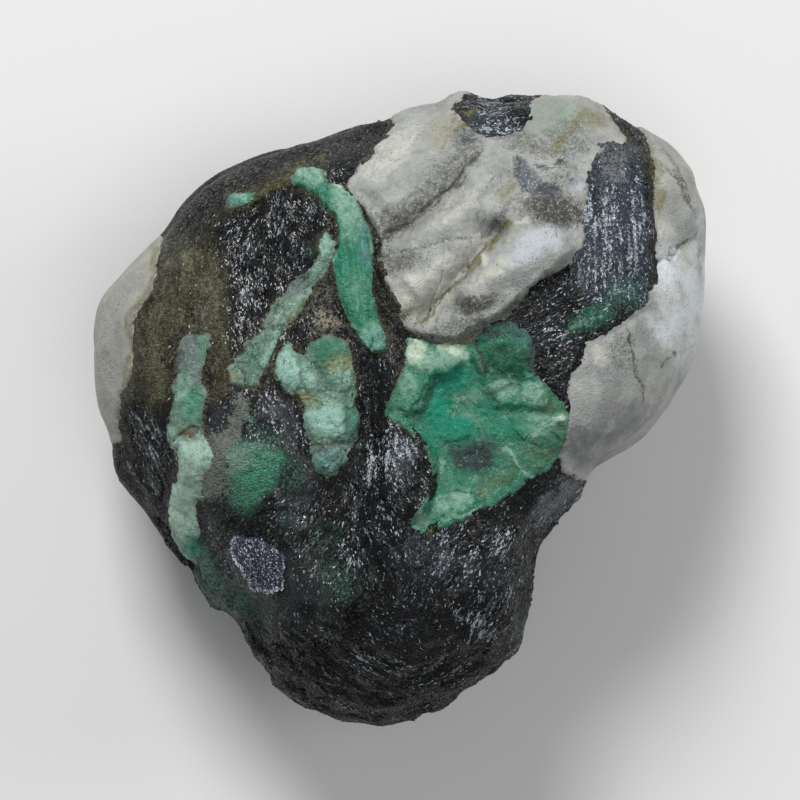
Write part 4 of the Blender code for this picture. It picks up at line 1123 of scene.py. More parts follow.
ridge = {
    **plainCrystal, "slot": "pale_emerald",
    "plan": ((-19.6, -13.2), (-14.6, 6.6), 0.09),
    "outline": [
        (-17.9, 5.7), (-16.9, 6.0), (-15.5, 5.9), (-15.2, 4.8), (-15.3, 3.6), (-15.8, 3.0), (-15.6, 0.9),
        (-16.0, -0.8), (-16.0, -2.2), (-15.2, -3.2), (-15.0, -3.9), (-15.6, -5.1), (-16.1, -6.6),
        (-16.5, -8.6), (-16.3, -10.2), (-16.3, -11.4), (-16.5, -12.5), (-17.5, -11.9), (-18.2, -10.6),
        (-18.5, -9.4), (-18.3, -7.2), (-17.8, -5.0), (-17.8, -3.2), (-18.6, -2.6), (-18.4, -1.1),
        (-18.0, 0.9), (-18.1, 3.0), (-18.0, 4.7),
    ],
    "floor": (15.5, 0.0, 0.12), "proud": 0.12, "edge": 0.6, "grow": 0.2, "wander": 0.30, "ragged": 0.20,
    "lineShare": 0.4,
    "lines": [(-16.8, 5.6), (-16.8, 2.0), (-17.2, -1.8), (-16.2, -4.4), (-17.4, -7.8), (-16.9, -12.4)],
    "relief": {
        "lumps": [(2.4, 0.14), (0.8, 0.07), (0.35, 0.03)],
        "facets": [(1.2, 0.06)],
        "roofs": [(0.35, 1.2, 1.6, [
            (-16.6, 5.0), (-16.9, 1.6), (-17.6, -1.8), (-16.8, -4.6), (-17.6, -7.9), (-17.0, -12.0),
        ])],
        "cracks": [(0.2, 0.12, [(-18.4, -2.7), (-17.6, -2.2), (-16.6, -1.4), (-15.9, -1.8)])],
    },
    "zones": {
        "pale": {"spots": [
            (-17.5, 1.6, 0.8, 2.0, 0, 0.4), (-18.3, -2.0, 0.4, 0.9, 0, 0.8),
            (-17.6, -5.0, 0.5, 1.6, 0, 0.5),
        ]},
        "sage": {"areas": [(1.0, 1.0, [
            (-18.4, -1.6), (-15.0, -2.2), (-15.0, -4.4), (-16.2, -7.0), (-16.2, -10.0), (-18.8, -10.0),
            (-18.8, -6.0),
        ])]},
        "green": {"spots": [(-15.7, 4.7, 0.5, 1.2, 0, 0.5)]},
        "vivid": {"spots": [(-16.8, -11.6, 1.1, 1.2, 0, 1.0), (-16.5, 0.4, 0.9, 1.6, 0, 0.45)]},
        "silver": {"spots": [(-17.2, 4.9, 1.2, 1.5, 0, 1.0), (-16.6, 2.8, 0.8, 0.8, 0, 0.5)]},
        "dark": {"spots": [
            (-16.0, -8.0, 0.3, 1.5, 0, 0.6), (-17.6, 4.4, 0.5, 0.6, 0, 0.6),
            (-16.3, 5.4, 0.3, 0.5, 0, 0.6), (-17.8, 3.2, 0.3, 0.3, 0, 0.6),
        ]},
        "rust": {"spots": [
            (-16.9, -1.7, 0.9, 0.5, 0, 0.9), (-15.8, 2.4, 0.4, 1.2, 0, 0.7),
            (-15.9, -0.4, 0.4, 0.8, 0, 0.6), (-18.0, 3.6, 0.3, 0.9, 0, 0.6),
        ]},
    },
}
strip = {
    **plainCrystal, "slot": "pale_emerald", "plan": ((-14.2, 1.5), (-4.6, 14.5), 0.08),
    "outline": [
        (-6.3, 13.6), (-5.8, 14.0), (-5.2, 13.4), (-5.3, 12.2), (-6.1, 10.9), (-7.0, 9.8), (-7.9, 8.4),
        (-8.8, 6.8), (-9.6, 6.3), (-10.2, 4.7), (-11.0, 2.9), (-11.4, 2.0), (-12.2, 2.0), (-13.3, 2.2),
        (-13.5, 3.3), (-12.5, 4.7), (-11.3, 6.1), (-10.4, 7.8), (-9.3, 9.2), (-8.0, 10.4), (-7.0, 11.2),
        (-6.2, 12.3),
    ],
    "proud": 0.15, "edge": 0.35, "deep": 1.2, "grow": 0.2, "wander": 0.22, "ragged": 0.15,
    "lines": [(-12.6, 2.4), (-11.0, 5.2), (-9.0, 8.2), (-7.0, 11.0), (-5.9, 13.4)],
    "relief": {
        "lumps": [(1.6, 0.10), (0.6, 0.08), (0.3, 0.04)],
        "facets": [(1.1, 0.10), (0.5, 0.06)],
        "roofs": [(0.35, 1.8, 0.45, [(-11.5, 2.4), (-9.9, 5.9), (-8.5, 8.0), (-6.6, 11.0), (-5.7, 13.0)])],
        "cracks": [
            (0.2, 0.1, [(-11.2, 6.4), (-10.0, 6.4), (-9.0, 6.7)]),
            (0.12, 0.1, [(-12.9, 3.2), (-12.4, 2.8), (-12.3, 2.0)]),
        ],
    },
    "zones": {
        "sage": {"spots": [(-9.0, 8.4, 1.2, 3.0, -38, 0.3)]},
        "pale": {
            "streaks": [
                (0.22, 1.0, [(-11.2, 2.4), (-10.2, 4.7), (-9.6, 6.1)]),
                (0.22, 0.6, [(-8.7, 7.2), (-7.4, 9.6), (-6.2, 11.4)]),
            ],
            "spots": [(-5.7, 13.1, 0.6, 0.9, 0, 0.9)],
        },
        "stain": {
            "streaks": [(0.2, 0.5, [(-9.0, 6.9), (-7.4, 9.0), (-6.0, 10.8)])],
            "spots": [(-13.1, 2.8, 0.5, 0.6, 0, 0.6)],
        },
        "green": {"spots": [(-11.9, 4.0, 0.8, 1.2, -30, 0.3)]},
        "silver": {"spots": [
            (-8.4, 9.6, 0.7, 1.4, -40, 0.9), (-10.4, 6.6, 0.7, 0.9, 0, 0.7),
            (-12.6, 3.4, 0.7, 0.9, 0, 0.7),
        ]},
        "dark": {
            "spots": [
                (-7.6, 10.6, 0.4, 0.9, -40, 0.8), (-9.9, 8.1, 0.3, 0.5, -30, 0.6),
                (-12.2, 5.0, 0.4, 0.6, -30, 0.7),
            ],
            "streaks": [(0.12, 0.8, [(-12.6, 4.9), (-11.6, 4.2), (-11.0, 3.0)])],
        },
    },
}
cluster = {
    **plainCrystal, "slot": "pale_emerald", "plan": ((-10.2, -6.3), (-2.7, 6.7), 0.07),
    "outline": [
        (-10.0, 3.0), (-9.7, 4.5), (-8.9, 5.3), (-8.2, 5.0), (-7.6, 4.6), (-7.0, 5.4), (-5.3, 6.0),
        (-4.2, 5.4), (-3.8, 4.2), (-3.8, 3.0), (-3.6, 1.4), (-3.5, 0.1), (-3.2, -0.9), (-3.5, -2.2),
        (-4.2, -3.1), (-4.2, -4.0), (-4.9, -5.1), (-5.8, -5.6), (-6.8, -4.9), (-7.1, -3.7), (-6.9, -2.9),
        (-7.4, -1.6), (-7.8, -0.2), (-8.0, 0.8), (-8.9, 1.2), (-9.6, 1.8),
    ],
    "proud": 0.04, "edge": 0.4, "grow": 0.15, "wander": 0.2,
    "relief": {
        "warp": 0.3,
        "lumps": [(1.4, 0.10), (0.55, 0.07), (0.3, 0.03)],
        "facets": [(1.2, 0.10), (0.6, 0.06)],
        "domes": [
            (-8.9, 3.2, 1.0, 2.2, 12, 0.30), (-7.4, 2.7, 0.8, 1.7, 24, 0.24),
            (-5.6, 4.5, 1.9, 1.5, 0, 0.20), (-4.9, 2.4, 1.5, 1.2, 0, 0.20),
            (-5.5, -0.9, 2.3, 2.2, -20, 0.36), (-5.6, -4.2, 1.5, 1.4, 20, 0.2),
        ],
    },
    "zones": {
        "pale": {"spots": [
            (-8.9, 3.1, 0.8, 1.8, 12, 0.9), (-7.3, 2.6, 0.6, 1.4, 24, 0.6), (-5.9, -0.9, 1.7, 1.2, 0, 1.0),
            (-4.6, 2.2, 0.9, 0.8, 0, 0.5),
        ]},
        "green": {"spots": [
            (-5.6, 4.7, 1.6, 1.1, 0, 0.8), (-3.9, -0.9, 0.7, 1.2, 0, 0.5), (-8.1, 3.9, 0.3, 0.7, 20, 0.5),
            (-5.4, 2.2, 0.8, 0.5, 0, 0.4),
        ]},
        "teal": {"spots": [(-4.0, -1.2, 0.8, 1.2, 0, 0.7), (-5.7, -4.2, 1.2, 1.1, 0, 0.7)]},
        "stain": {
            "spots": [
                (-4.7, 3.6, 1.1, 0.9, 0, 0.9), (-7.0, 0.7, 0.9, 0.5, -20, 0.6),
                (-8.3, 5.0, 0.5, 0.4, 0, 0.6),
            ],
            "streaks": [(0.2, 0.5, [(-9.8, 4.5), (-10.1, 3.0), (-9.6, 1.8)])],
        },
        "silver": {"spots": [(-5.6, -3.2, 1.2, 0.4, 8, 1.0)]},
        "dark": {
            "spots": [
                (-3.6, -2.6, 0.5, 0.8, 0, 0.5), (-5.8, -3.1, 1.0, 0.25, 8, 0.5),
                (-4.3, 1.7, 0.5, 0.25, 0, 0.5),
            ],
            "streaks": [(0.14, 0.4, [(-7.8, 0.7), (-6.6, 1.5), (-5.4, 1.0)])],
        },
    },
}
blade = {
    **plainCrystal, "slot": "emerald", "plan": ((-9.6, 3.8), (-0.6, 20.4), 0.075),
    "outline": [
        (-8.8, 18.5), (-8.1, 19.2), (-6.9, 19.6), (-6.0, 19.1), (-5.7, 18.3), (-4.8, 18.0), (-3.8, 17.1),
        (-3.0, 16.0), (-2.4, 14.7), (-2.1, 13.3), (-2.0, 11.7), (-2.1, 10.1), (-1.9, 8.4), (-1.5, 7.0),
        (-1.2, 5.7), (-1.3, 4.7), (-2.0, 4.6), (-2.9, 5.2), (-3.5, 6.2), (-4.1, 7.5), (-4.7, 9.2),
        (-5.1, 10.6), (-5.4, 11.9), (-4.8, 12.9), (-4.7, 14.1), (-5.1, 15.5), (-5.9, 16.4), (-6.8, 17.2),
        (-7.7, 17.7), (-8.5, 17.9),
    ],
    "proud": 0.15, "edge": 0.35, "wander": 0.12, "grow": 0.1, "deep": 1.6, "lineShare": 0.85,
    "lines": [
        (-6.8, 18.9), (-5.2, 17.5), (-4.0, 15.2), (-3.7, 12.0), (-3.5, 9.4), (-2.8, 7.0), (-1.8, 4.8),
    ],
    "relief": {
        "warp": 0.10,
        "lumps": [(1.6, 0.10), (0.7, 0.06), (0.35, 0.04)],
        "facets": [(1.0, 0.08), (0.5, 0.04)],
        "roofs": [(0.65, 1.0, 2.3, [
            (-8.2, 18.5), (-6.6, 18.7), (-5.1, 17.0), (-4.2, 14.6), (-4.3, 12.0), (-4.0, 9.6), (-3.1, 7.2),
            (-2.0, 5.0),
        ])],
        "cracks": [
            (0.2, 0.10, [(-6.3, 19.2), (-5.6, 18.0), (-5.7, 17.2)]),
            (0.15, 0.1, [(-3.9, 7.9), (-2.0, 7.3)]),
        ],
        "domes": [(-4.6, 17.7, 0.5, 0.35, -20, 0.3)],
    },
    "zones": {
        "pale": {
            "spots": [
                (-7.2, 18.7, 1.8, 0.9, 0, 0.8), (-4.2, 16.0, 1.2, 2.4, 20, 0.8),
                (-2.2, 5.9, 1.1, 1.5, 0, 0.4), (-3.6, 9.8, 1.0, 2.0, 0, 0.25),
            ],
            "streaks": [(0.2, 0.6, [(-4.9, 12.6), (-5.2, 11.2), (-4.6, 9.0), (-3.6, 6.4)])],
        },
        "deep": {"spots": [(-3.9, 11.6, 1.0, 2.2, 0, 0.5), (-3.5, 8.4, 0.8, 1.8, 15, 0.3)]},
        "teal": {"spots": [(-2.6, 13.0, 0.6, 2.0, 0, 0.9), (-2.1, 5.6, 1.0, 1.2, 0, 0.8)]},
        "cream": {"spots": [(-4.7, 17.8, 0.85, 0.45, -20, 1.0), (-5.6, 18.9, 0.4, 0.3, 0, 0.4)]},
        "rust": {"spots": [(-4.9, 13.6, 0.3, 0.9, 0, 0.8), (-2.7, 12.6, 0.3, 0.3, 0, 0.4)]},
        "night": {"spots": [(-4.0, 7.9, 0.4, 1.2, 20, 0.4)]},
        "olive": {"streaks": [
            (0.3, 0.7, [(-7.6, 19.6), (-6.4, 19.5), (-5.6, 18.5)]),
            (0.2, 0.6, [(-2.3, 14.6), (-2.0, 12.4)]),
        ]},
    },
}
chip = {
    **plainCrystal, "slot": "emerald",
    "plan": ((-14.5, 15.6), (-11.4, 18.2), 0.06),
    "outline": [
        (-13.8, 17.4), (-12.8, 17.5), (-11.7, 17.5), (-12.1, 16.7), (-12.8, 16.4), (-13.8, 16.1),
        (-14.0, 16.8),
    ],
    "proud": 0.12, "edge": 0.35, "wander": 0.12, "grow": 0.08, "deep": 1.0,
    "relief": {"lumps": [(0.8, 0.05)]},
    "zones": {
        "pale": {"spots": [(-12.7, 17.2, 0.9, 0.4, 0, 0.7)]},
        "teal": {"spots": [(-12.8, 16.8, 1.2, 0.8, 0, 0.5)]},
        "olive": {"spots": [(-13.8, 16.3, 0.7, 0.6, 0, 0.9)]},
        "dark": {"spots": [(-12.4, 16.3, 1.0, 0.3, 20, 0.6)]},
    },
}
book = {
    **plainCrystal, "slot": "silver_mica",
    "plan": ((-14.4, -15.8), (-8.4, -9.6), 0.08),
    "outline": [
        (-13.4, -10.1), (-12.9, -10.0), (-11.9, -10.4), (-10.95, -10.5), (-9.0, -11.9), (-9.16, -14.6),
        (-10.6, -14.9), (-11.9, -14.6), (-12.4, -13.5), (-13.6, -11.7),
    ],
    "proud": 0.18, "edge": 0.2, "wander": 0.10, "grow": 0.0, "deep": 1.2,
    "relief": {"facets": [(0.45, 0.06), (0.22, 0.03)]},
    "scales": 2600, "scaleSizes": (0.12, 0.32), "scaleTilt": 0.26, "scaleLift": 0.04, "scaleSink": 0.15,
    "middle": (-11.3, -12.5),
}
crystals = {
    "quartz_crown": crown, "quartz_flank": flank, "quartz_lump": lump, "emerald_heart": heart,
    "emerald_ridge": ridge, "emerald_strip": strip, "emerald_cluster": cluster, "emerald_blade": blade,
    "emerald_chip": chip,
}

for name, crystal in crystals.items():
    makeInlaid(name, crystal, crystalGrid(crystal))
print("crystals ready")

skin = {
    "columns": 520, "rows": 184, "facet": (2.2, 0.14),  # size and height of broken facets
    "pocket": 1.1,  # how far the skin sinks under a crystal
    "lumps": [(4.5, 0.26), (2.0, 0.17), (0.9, 0.08)],
    "ridges": [(3.2, 1.0, 0.24), (1.9, 0.55, 0.12)],  # length, width and height of ridges along the grain
    "zones": {
        "olive": {
            "areas": [(0.9, 0.9, [
                (-19.5, 14.4), (-17.4, 14.7), (-14.2, 12.9), (-13.7, 8.8), (-13.5, 5.2), (-15.0, 5.2),
                (-15.2, 6.0), (-17.8, 6.0), (-18.5, 3.0), (-19.6, -0.5), (-21.5, 0.9), (-22.9, 1.1),
                (-21.9, 4.4), (-22.1, 6.8), (-20.3, 8.8), (-19.5, 11.7),
            ])],
            "streaks": [
                (0.8, 0.6, [(-17.0, 13.0), (-14.0, 16.2), (-11.0, 17.8), (-8.0, 19.8)]),
                (0.5, 0.5, [(16.0, 24.4), (18.6, 22.4), (20.2, 19.0)]),
            ],
            "spots": [
                (-14.4, 3.4, 1.0, 3.0, 0, 0.9), (-1.4, 6.2, 1.0, 1.4, 0, 0.6),
                (5.6, 23.8, 1.0, 0.8, 0, 0.4), (-19.6, 3.2, 1.6, 3.2, 0, 1.0),
            ],
        },
        "yellow": {
            "spots": [
                (5.8, 24.0, 0.8, 0.5, 20, 0.9), (5.2, 22.8, 0.7, 0.5, 0, 0.6),
                (9.2, -16.2, 0.4, 0.4, 0, 0.7), (2.6, -9.9, 0.22, 0.42, -20, 1.0),
            ],
            "streaks": [
                (0.5, 0.5, [(-12.0, 16.9), (-9.8, 18.2), (-8.0, 19.7), (-6.2, 20.3)]),
                (0.3, 0.6, [(20.0, 21.0), (20.7, 18.6), (20.4, 16.4)]),
            ],
        },
        "taupe": {
            "spots": [
                (-6.2, 8.7, 1.6, 2.4, -20, 1.0), (-5.6, 7.2, 1.4, 0.5, -12, 1.0),
                (-0.4, 5.0, 0.9, 2.0, 0, 0.8), (-13.4, 2.0, 0.8, 1.4, 0, 0.5),
                (-13.0, 4.6, 0.5, 1.2, 0, 0.6),
            ],
            "areas": [(0.3, 0.85, [(-8.2, 8.6), (-5.8, 11.2), (-4.4, 6.6), (-6.8, 6.2), (-8.6, 6.4)])],
        },
        "slate": {"areas": [(0.8, 0.75, [
            (-15.0, 1.9), (-12.9, 1.1), (-11.2, 2.3), (-9.3, 1.3), (-8.1, -0.1), (-7.4, -3.4),
            (-6.3, -5.8), (-8.1, -9.1), (-4.4, -13.1), (-5.2, -17.6), (-8.1, -18.8), (-11.2, -18.0),
            (-13.8, -15.6), (-16.2, -13.1), (-16.4, -9.1), (-17.0, -5.0), (-16.2, -1.8),
        ])]},
        "silver": {
            "areas": [(0.5, 0.95, [
                (15.0, 21.4), (16.4, 22.7), (19.6, 21.0), (20.3, 17.0), (20.3, 8.0), (18.0, 8.8),
                (16.4, 7.2), (14.7, 9.6), (14.3, 12.9), (15.0, 17.0),
            ])],
            "spots": [
                (0.1, -3.9, 1.1, 1.6, 0, 0.9), (4.6, -12.7, 6.1, 1.8, -12, 0.35),
                (7.6, 22.8, 3.2, 1.6, -10, 0.8), (12.9, -7.7, 2.8, 1.1, 42, 0.9),
                (12.6, 5.6, 2.6, 0.8, 0, 0.3), (-10.0, -0.6, 1.6, 1.2, 0, 0.4),
                (9.6, -18.6, 1.0, 2.0, 0, 0.5),
            ],
        },
        "green": {
            "areas": [(0.6, 1.0, [
                (-12.9, -2.6), (-11.9, -2.2), (-10.6, -2.9), (-9.4, -3.6), (-9.4, -5.2), (-9.9, -6.6),
                (-10.9, -6.9), (-11.6, -8.2), (-12.1, -8.9), (-13.1, -8.7), (-13.7, -7.9), (-13.6, -6.6),
                (-14.2, -5.2), (-13.9, -3.6),
            ])],
            "spots": [
                (15.5, 7.4, 2.4, 1.0, 25, 0.7), (18.4, 9.4, 1.6, 1.3, 0, 0.55),
                (-15.8, -11.6, 0.7, 1.4, 20, 0.6), (-7.0, 13.0, 0.8, 0.8, 0, 0.4),
            ],
        },
        "mint": {"spots": [
            (-12.8, -3.9, 1.2, 1.2, 0, 1.0), (-11.9, -2.9, 0.9, 0.6, 0, 0.9),
            (14.6, 6.9, 1.1, 0.5, 25, 0.6), (-11.9, -0.9, 0.6, 1.0, 0, 0.8),
            (-10.4, -3.0, 0.9, 1.0, 0, 0.4), (14.4, 22.9, 2.0, 1.4, -30, 0.3),
            (-6.8, 13.7, 0.8, 0.8, 0, 0.7),
        ]},
        "teal": {
            "areas": [(0.5, 0.95, [
                (-16.9, -12.4), (-15.6, -12.2), (-14.4, -13.2), (-12.8, -14.6), (-11.2, -15.2),
                (-10.4, -16.4), (-11.0, -18.4), (-13.8, -17.6), (-16.4, -15.2),
            ])],
            "spots": [
                (-5.0, -13.8, 2.2, 2.4, -10, 0.5), (-5.8, -10.4, 1.6, 1.6, 0, 0.4),
                (-13.6, -14.8, 2.4, 1.2, -40, 1.0), (-8.5, -5.2, 1.2, 1.4, 0, 0.7),
                (-8.6, -9.0, 1.6, 1.2, 0, 0.35), (-10.6, -2.4, 1.2, 1.2, 0, 0.7),
                (-5.8, -16.6, 1.0, 1.2, 0, 0.4),
            ],
        },
        "worn": {
            "streaks": [
                (2.2, 0.9, [(-19.4, 13.6), (-17.0, 17.2), (-13.5, 19.6), (-9.0, 21.2), (-4.6, 22.2)]),
                (1.0, 0.7, [(-23.2, -2.6), (-21.6, -7.4), (-19.6, -10.4)]),
                (1.2, 0.7, [(10.6, -15.6), (10.0, -18.8), (8.0, -20.8)]),
            ],
            "spots": [(-3.6, -17.2, 1.3, 1.9, 0, 0.6)],
        },
        "sage": {
            "areas": [(0.35, 1.0, [
                (-16.6, -3.4), (-15.6, -2.3), (-14.4, -0.9), (-13.4, 0.2), (-12.8, 1.1), (-11.7, 1.0),
                (-12.0, -0.3), (-12.7, -2.1), (-13.6, -3.4), (-14.4, -5.3), (-14.4, -6.8), (-15.6, -7.7),
                (-16.2, -6.8), (-15.6, -5.0),
            ])],
            "spots": [
                (-14.5, -5.9, 1.2, 2.4, 0, 0.8), (-6.3, 13.9, 1.0, 0.9, 0, 0.7),
                (-15.4, -3.9, 1.0, 1.4, 0, 0.9),
            ],
        },
        "brown": {"spots": [
            (-18.9, 10.4, 1.2, 2.4, 0, 0.5), (-19.4, 5.6, 0.8, 2.0, 0, 0.3),
            (-14.2, 3.0, 0.4, 2.0, 0, 0.5), (-16.4, 7.8, 1.2, 2.0, 0, 0.6), (-1.6, 8.0, 0.5, 3.0, 0, 0.6),
            (-20.9, 0.4, 0.8, 1.0, 0, 0.3),
        ]},
        "ash": {"spots": [
            (13.0, -7.4, 3.0, 1.5, 42, 0.95), (17.4, 19.4, 1.8, 2.4, 0, 0.9),
            (6.6, 22.4, 1.6, 0.8, -20, 0.6), (10.2, -12.4, 1.0, 1.8, 10, 0.5),
        ]},
        "bone": {"spots": [(-5.9, 7.25, 1.3, 0.55, -20, 0.9), (-13.0, 4.4, 0.35, 0.8, 10, 0.6)]},
        # dark: the streaks are painted shade below the ledges that face away from the light and down the
        # valley beside the spine; the spots darken the schist in patches
        "dark": {
            "streaks": [
                (1.2, 1.0, [
                    (-12.6, -18.2), (-9.4, -19.2), (-6.6, -20.6), (-4.2, -19.2), (-3.8, -16.6),
                    (-2.0, -15.2),
                ]),
                (0.7, 0.9, [(2.8, -2.0), (3.4, -4.6), (3.0, -7.4), (1.6, -9.8)]),
                (0.8, 0.7, [(-19.0, -3.0), (-19.0, -6.0), (-19.4, -9.6)]),
                (0.8, 0.6, [(-2.4, 3.6), (-2.2, 0.0), (-2.4, -2.0)]),
            ],
            "spots": [
                (-12.4, -9.0, 4.0, 1.5, -20, 0.7), (-1.4, -22.6, 4.0, 2.2, -10, 0.5),
                (12.0, 3.0, 1.4, 1.4, 0, 0.6), (-16.6, 7.3, 0.6, 1.2, 0, 0.9),
                (15.0, 10.6, 0.9, 1.6, -20, 0.6), (-10.6, -16.4, 2.6, 1.6, 20, 0.5),
                (6.0, -21.0, 3.0, 1.5, 25, 0.4),
            ],
        },
        # glint: where more scales lie and more of them carry painted glints
        "glint": {"spots": [
            (0.0, -4.0, 1.3, 2.4, 5, 1.0), (-0.6, -9.4, 1.6, 2.6, 15, 0.8),
            (3.4, -11.8, 3.4, 1.4, -10, 0.6), (-12.9, -13.2, 0.9, 1.4, 30, 0.5),
            (8.6, -10.6, 2.2, 1.0, 40, 0.7), (9.4, -14.6, 1.0, 2.4, 0, 0.7),
            (-2.8, -20.8, 2.4, 1.4, -25, 0.8), (-4.6, -12.0, 1.6, 1.4, 0, 0.7),
            (13.2, -7.4, 1.6, 0.8, 42, 0.9), (-13.4, 15.0, 0.8, 1.2, -30, 0.7),
            (-12.6, 9.0, 0.4, 3.0, 5, 0.7), (-10.0, 12.4, 0.4, 1.4, 0, 0.5),
            (-9.0, 15.6, 1.8, 0.8, 20, 0.4), (-20.2, -2.6, 1.4, 2.2, 30, 0.25),
            (-9.4, -0.8, 0.9, 0.9, 0, 0.6), (5.6, -17.4, 2.6, 1.6, -30, 0.6),
            (-3.2, -0.6, 0.4, 2.2, 0, 0.6), (-1.9, -5.0, 1.3, 2.8, 8, 0.8), (11.6, 6.2, 2.6, 0.8, 20, 0.4),
        ]},
        "hollow": {"areas": [(0.5, 1.0, [
            (-14.6, 15.2), (-11.6, 17.0), (-8.6, 18.0), (-6.8, 17.4), (-5.9, 15.8), (-6.3, 13.3),
            (-7.7, 11.4), (-9.3, 9.2), (-11.2, 6.8), (-13.3, 3.8), (-13.7, 6.4), (-13.6, 10.2),
            (-14.4, 13.3),
        ])]},
    },
}

scales = {
    "grainReach": 8.0,  # square millimetres over which a guide's weight falls by e
    # where the schist's grain runs: x, y, heading in degrees
    "grain": [
        (-12.8, 15.0, 60), (-9.5, 15.5, 110), (-12.5, 11.0, 97), (-9.0, 12.5, 80), (-11.8, 6.5, 95),
        (-16.5, 10.0, 95), (-17.5, 3.0, 80), (-21.0, -4.0, -62), (-19.5, -8.5, -58), (-14.0, -3.0, 80),
        (-9.5, -2.5, -70), (-12.5, -8.0, 30), (-7.0, -9.0, 60), (-8.0, -14.0, 70), (-2.3, 1.0, 92),
        (-2.5, -4.0, 80), (0.4, -5.5, -62), (-0.5, -10.0, -70), (3.5, -13.0, 60), (7.5, -10.5, 40),
        (12.5, -8.0, 45), (8.0, -15.0, 65), (3.0, -18.0, -60), (-2.5, -18.0, -55), (-1.5, -22.5, -15),
        (4.5, -21.5, 30), (8.5, -18.5, 65), (-7.0, -21.5, -40), (17.5, 12.0, 95), (16.5, 18.0, 80),
        (8.0, 23.0, 10), (13.0, 7.0, 30), (-12.0, 19.0, 35), (-17.5, 15.0, 60), (-2.0, 6.0, 100),
    ],
    "more": {"silver": 0.5, "hollow": 0.4, "glint": 0.8},  # zones with more scales, and how many more
    # zones with fewer scales, and zones with duller ones, and how much
    # the dark zone's fewer and duller scales are part of its painted shade
    "fewer": {
        "worn": 0.93, "olive": 1.0, "slate": 0.4, "taupe": 0.95, "dark": 0.35, "green": 1.1, "mint": 1.2,
        "sage": 1.15, "rind": 0.9, "brown": 0.6, "teal": 1.0, "yellow": 1.1, "ash": 1.1, "bone": 1.1,
    },
    "duller": {
        "olive": 0.9, "slate": 0.35, "teal": 0.4, "worn": 0.6, "dark": 0.75, "brown": 0.8, "rind": 0.8,
        "sage": 0.6,
    },
    "lift": (0.01, 0.06), "sink": 0.22,  # how far a scale stands out, and how far its root goes in
    "tilt": (0.08, 0.20),  # least, and how much more it may be
    "stray": 0.32,  # how far headings stray from the grain, in radians
    "sets": [  # name, how many, seed
        ("mica_scales_upper", 49000, 11), ("mica_scales_middle", 49000, 12), ("mica_scales_inner", 49000, 14),
        ("mica_scales_outer", 49000, 15), ("mica_scales_lower", 44000, 13),
    ],
}


# The grain's heading at each point: the guides' headings, doubled so that opposite ones agree, added up by
# weights that fall off with distance
def grainHeading(x, y):
    east, north = np.zeros(x.shape), np.zeros(x.shape)
    for gx, gy, heading in scales["grain"]:
        weight = np.exp(-((x - gx) ** 2 + (y - gy) ** 2) / scales["grainReach"]) + 1e-6
        east += weight * math.cos(2 * math.radians(heading))
        north += weight * math.sin(2 * math.radians(heading))
    return 0.5 * np.arctan2(north, east)


# How closely the skin's rows lie: sparsest under the cobble's middle, and closest on its upper side
def skinCrowding(out, fall):
    under = fall > math.pi / 2
    return np.where(under, np.where(out < 11, 0.15, 0.6), np.where(out < 5, 0.3, 1.0))


# The schist: the whole cobble round its axis from pole to pole, roughened by lumps, facets and ridges along
# the grain, and sunk under each crystal
def makeSkin():
    turn = np.linspace(0, 2 * math.pi, skin["columns"], endpoint=False)
    fall = evenFalls(math.pi - 0.03, 0.03, skin["rows"], skinCrowding)
    points = stonePoints(*np.meshgrid(turn, fall))
    wrapped = np.concatenate([points[:, -2:], points, points[:, :2]], 1)
    normal = gridNormals(wrapped)[:, 2:-2]
    values = zoneValues(points, skin["zones"])
    patch = layeredNoise(points, 7.0, 3, 70)
    under = 1 - upperSide(points)
    values["olive"] = np.maximum(values["olive"], under * ease(patch, 0.15, 0.7) * 0.8)
    values["silver"] = np.maximum(values["silver"], under * ease(-patch, 0.2, 0.8) * 0.6)
    values["worn"] = np.maximum(values["worn"], under * 0.35)
    rough = 1 - 0.8 * values["worn"] - 0.35 * values["olive"] - 0.3 * values["slate"]
    height = sum(rise * smoothNoise(points, size, int(size * 100)) for size, rise in skin["lumps"]) * rough
    facetSize, facetRise = skin["facet"]
    height += facetRise * rough * brokenFacets(points, facetSize, 17)[0]
    heading = grainHeading(points[..., 0], points[..., 1])
    for long, short, rise in skin["ridges"]:
        height += rise * rough * grainNoise(points, heading, long, short, int(long * 10))
    covered = np.full(height.shape, -9.0)
    for crystal in (*crystals.values(), book):
        covered = np.maximum(covered, crystalReach(crystal, points))
    upperLeft = ease(points[..., 1] - 0.3 * points[..., 0], -1.0, 4.0) * ease(points[..., 2], 14.0, 18.0)
    values["rind"] = 0.9 * (1 - ease(-covered, 0.0, 0.7)) * upperLeft * ease(4.0 - points[..., 0], -2.0, 3.0)
    height *= 0.3 + 0.7 * ease(-covered, 0.0, 1.0)
    height -= skin["pocket"] * ease(covered, 0.45, 0.95)
    points = points + normal * (height * ease(points[..., 2], 0.0, 1.5))[..., None]
    points[..., 2] = np.maximum(points[..., 2], 0)
    rows, columns = points.shape[:2]
    index = np.arange(rows * columns).reshape(rows, columns)
    nextColumn = np.roll(index, -1, 1)
    quads = np.stack([index[:-1], nextColumn[:-1], nextColumn[1:], index[1:]], -1).reshape(-1, 4)
    poles = rows * columns
    lowCap = np.stack([np.full(columns, poles), nextColumn[0], index[0]], 1)
    highCap = np.stack([np.full(columns, poles + 1), index[-1], nextColumn[-1]], 1)
    everyPoint = np.vstack([points.reshape(-1, 3), points[0].mean(0), points[-1].mean(0)])
    flat = {key: np.append(value.ravel(), [0, 0]) for key, value in values.items()}
    faces = [quads, lowCap, highCap]
    makePiece("schist_matrix", everyPoint, faces, finishes["schist"], "schist_matrix", flat)
    return points, values, covered


skinPoints, skinValues, skinCovered = makeSkin()
print("schist ready")

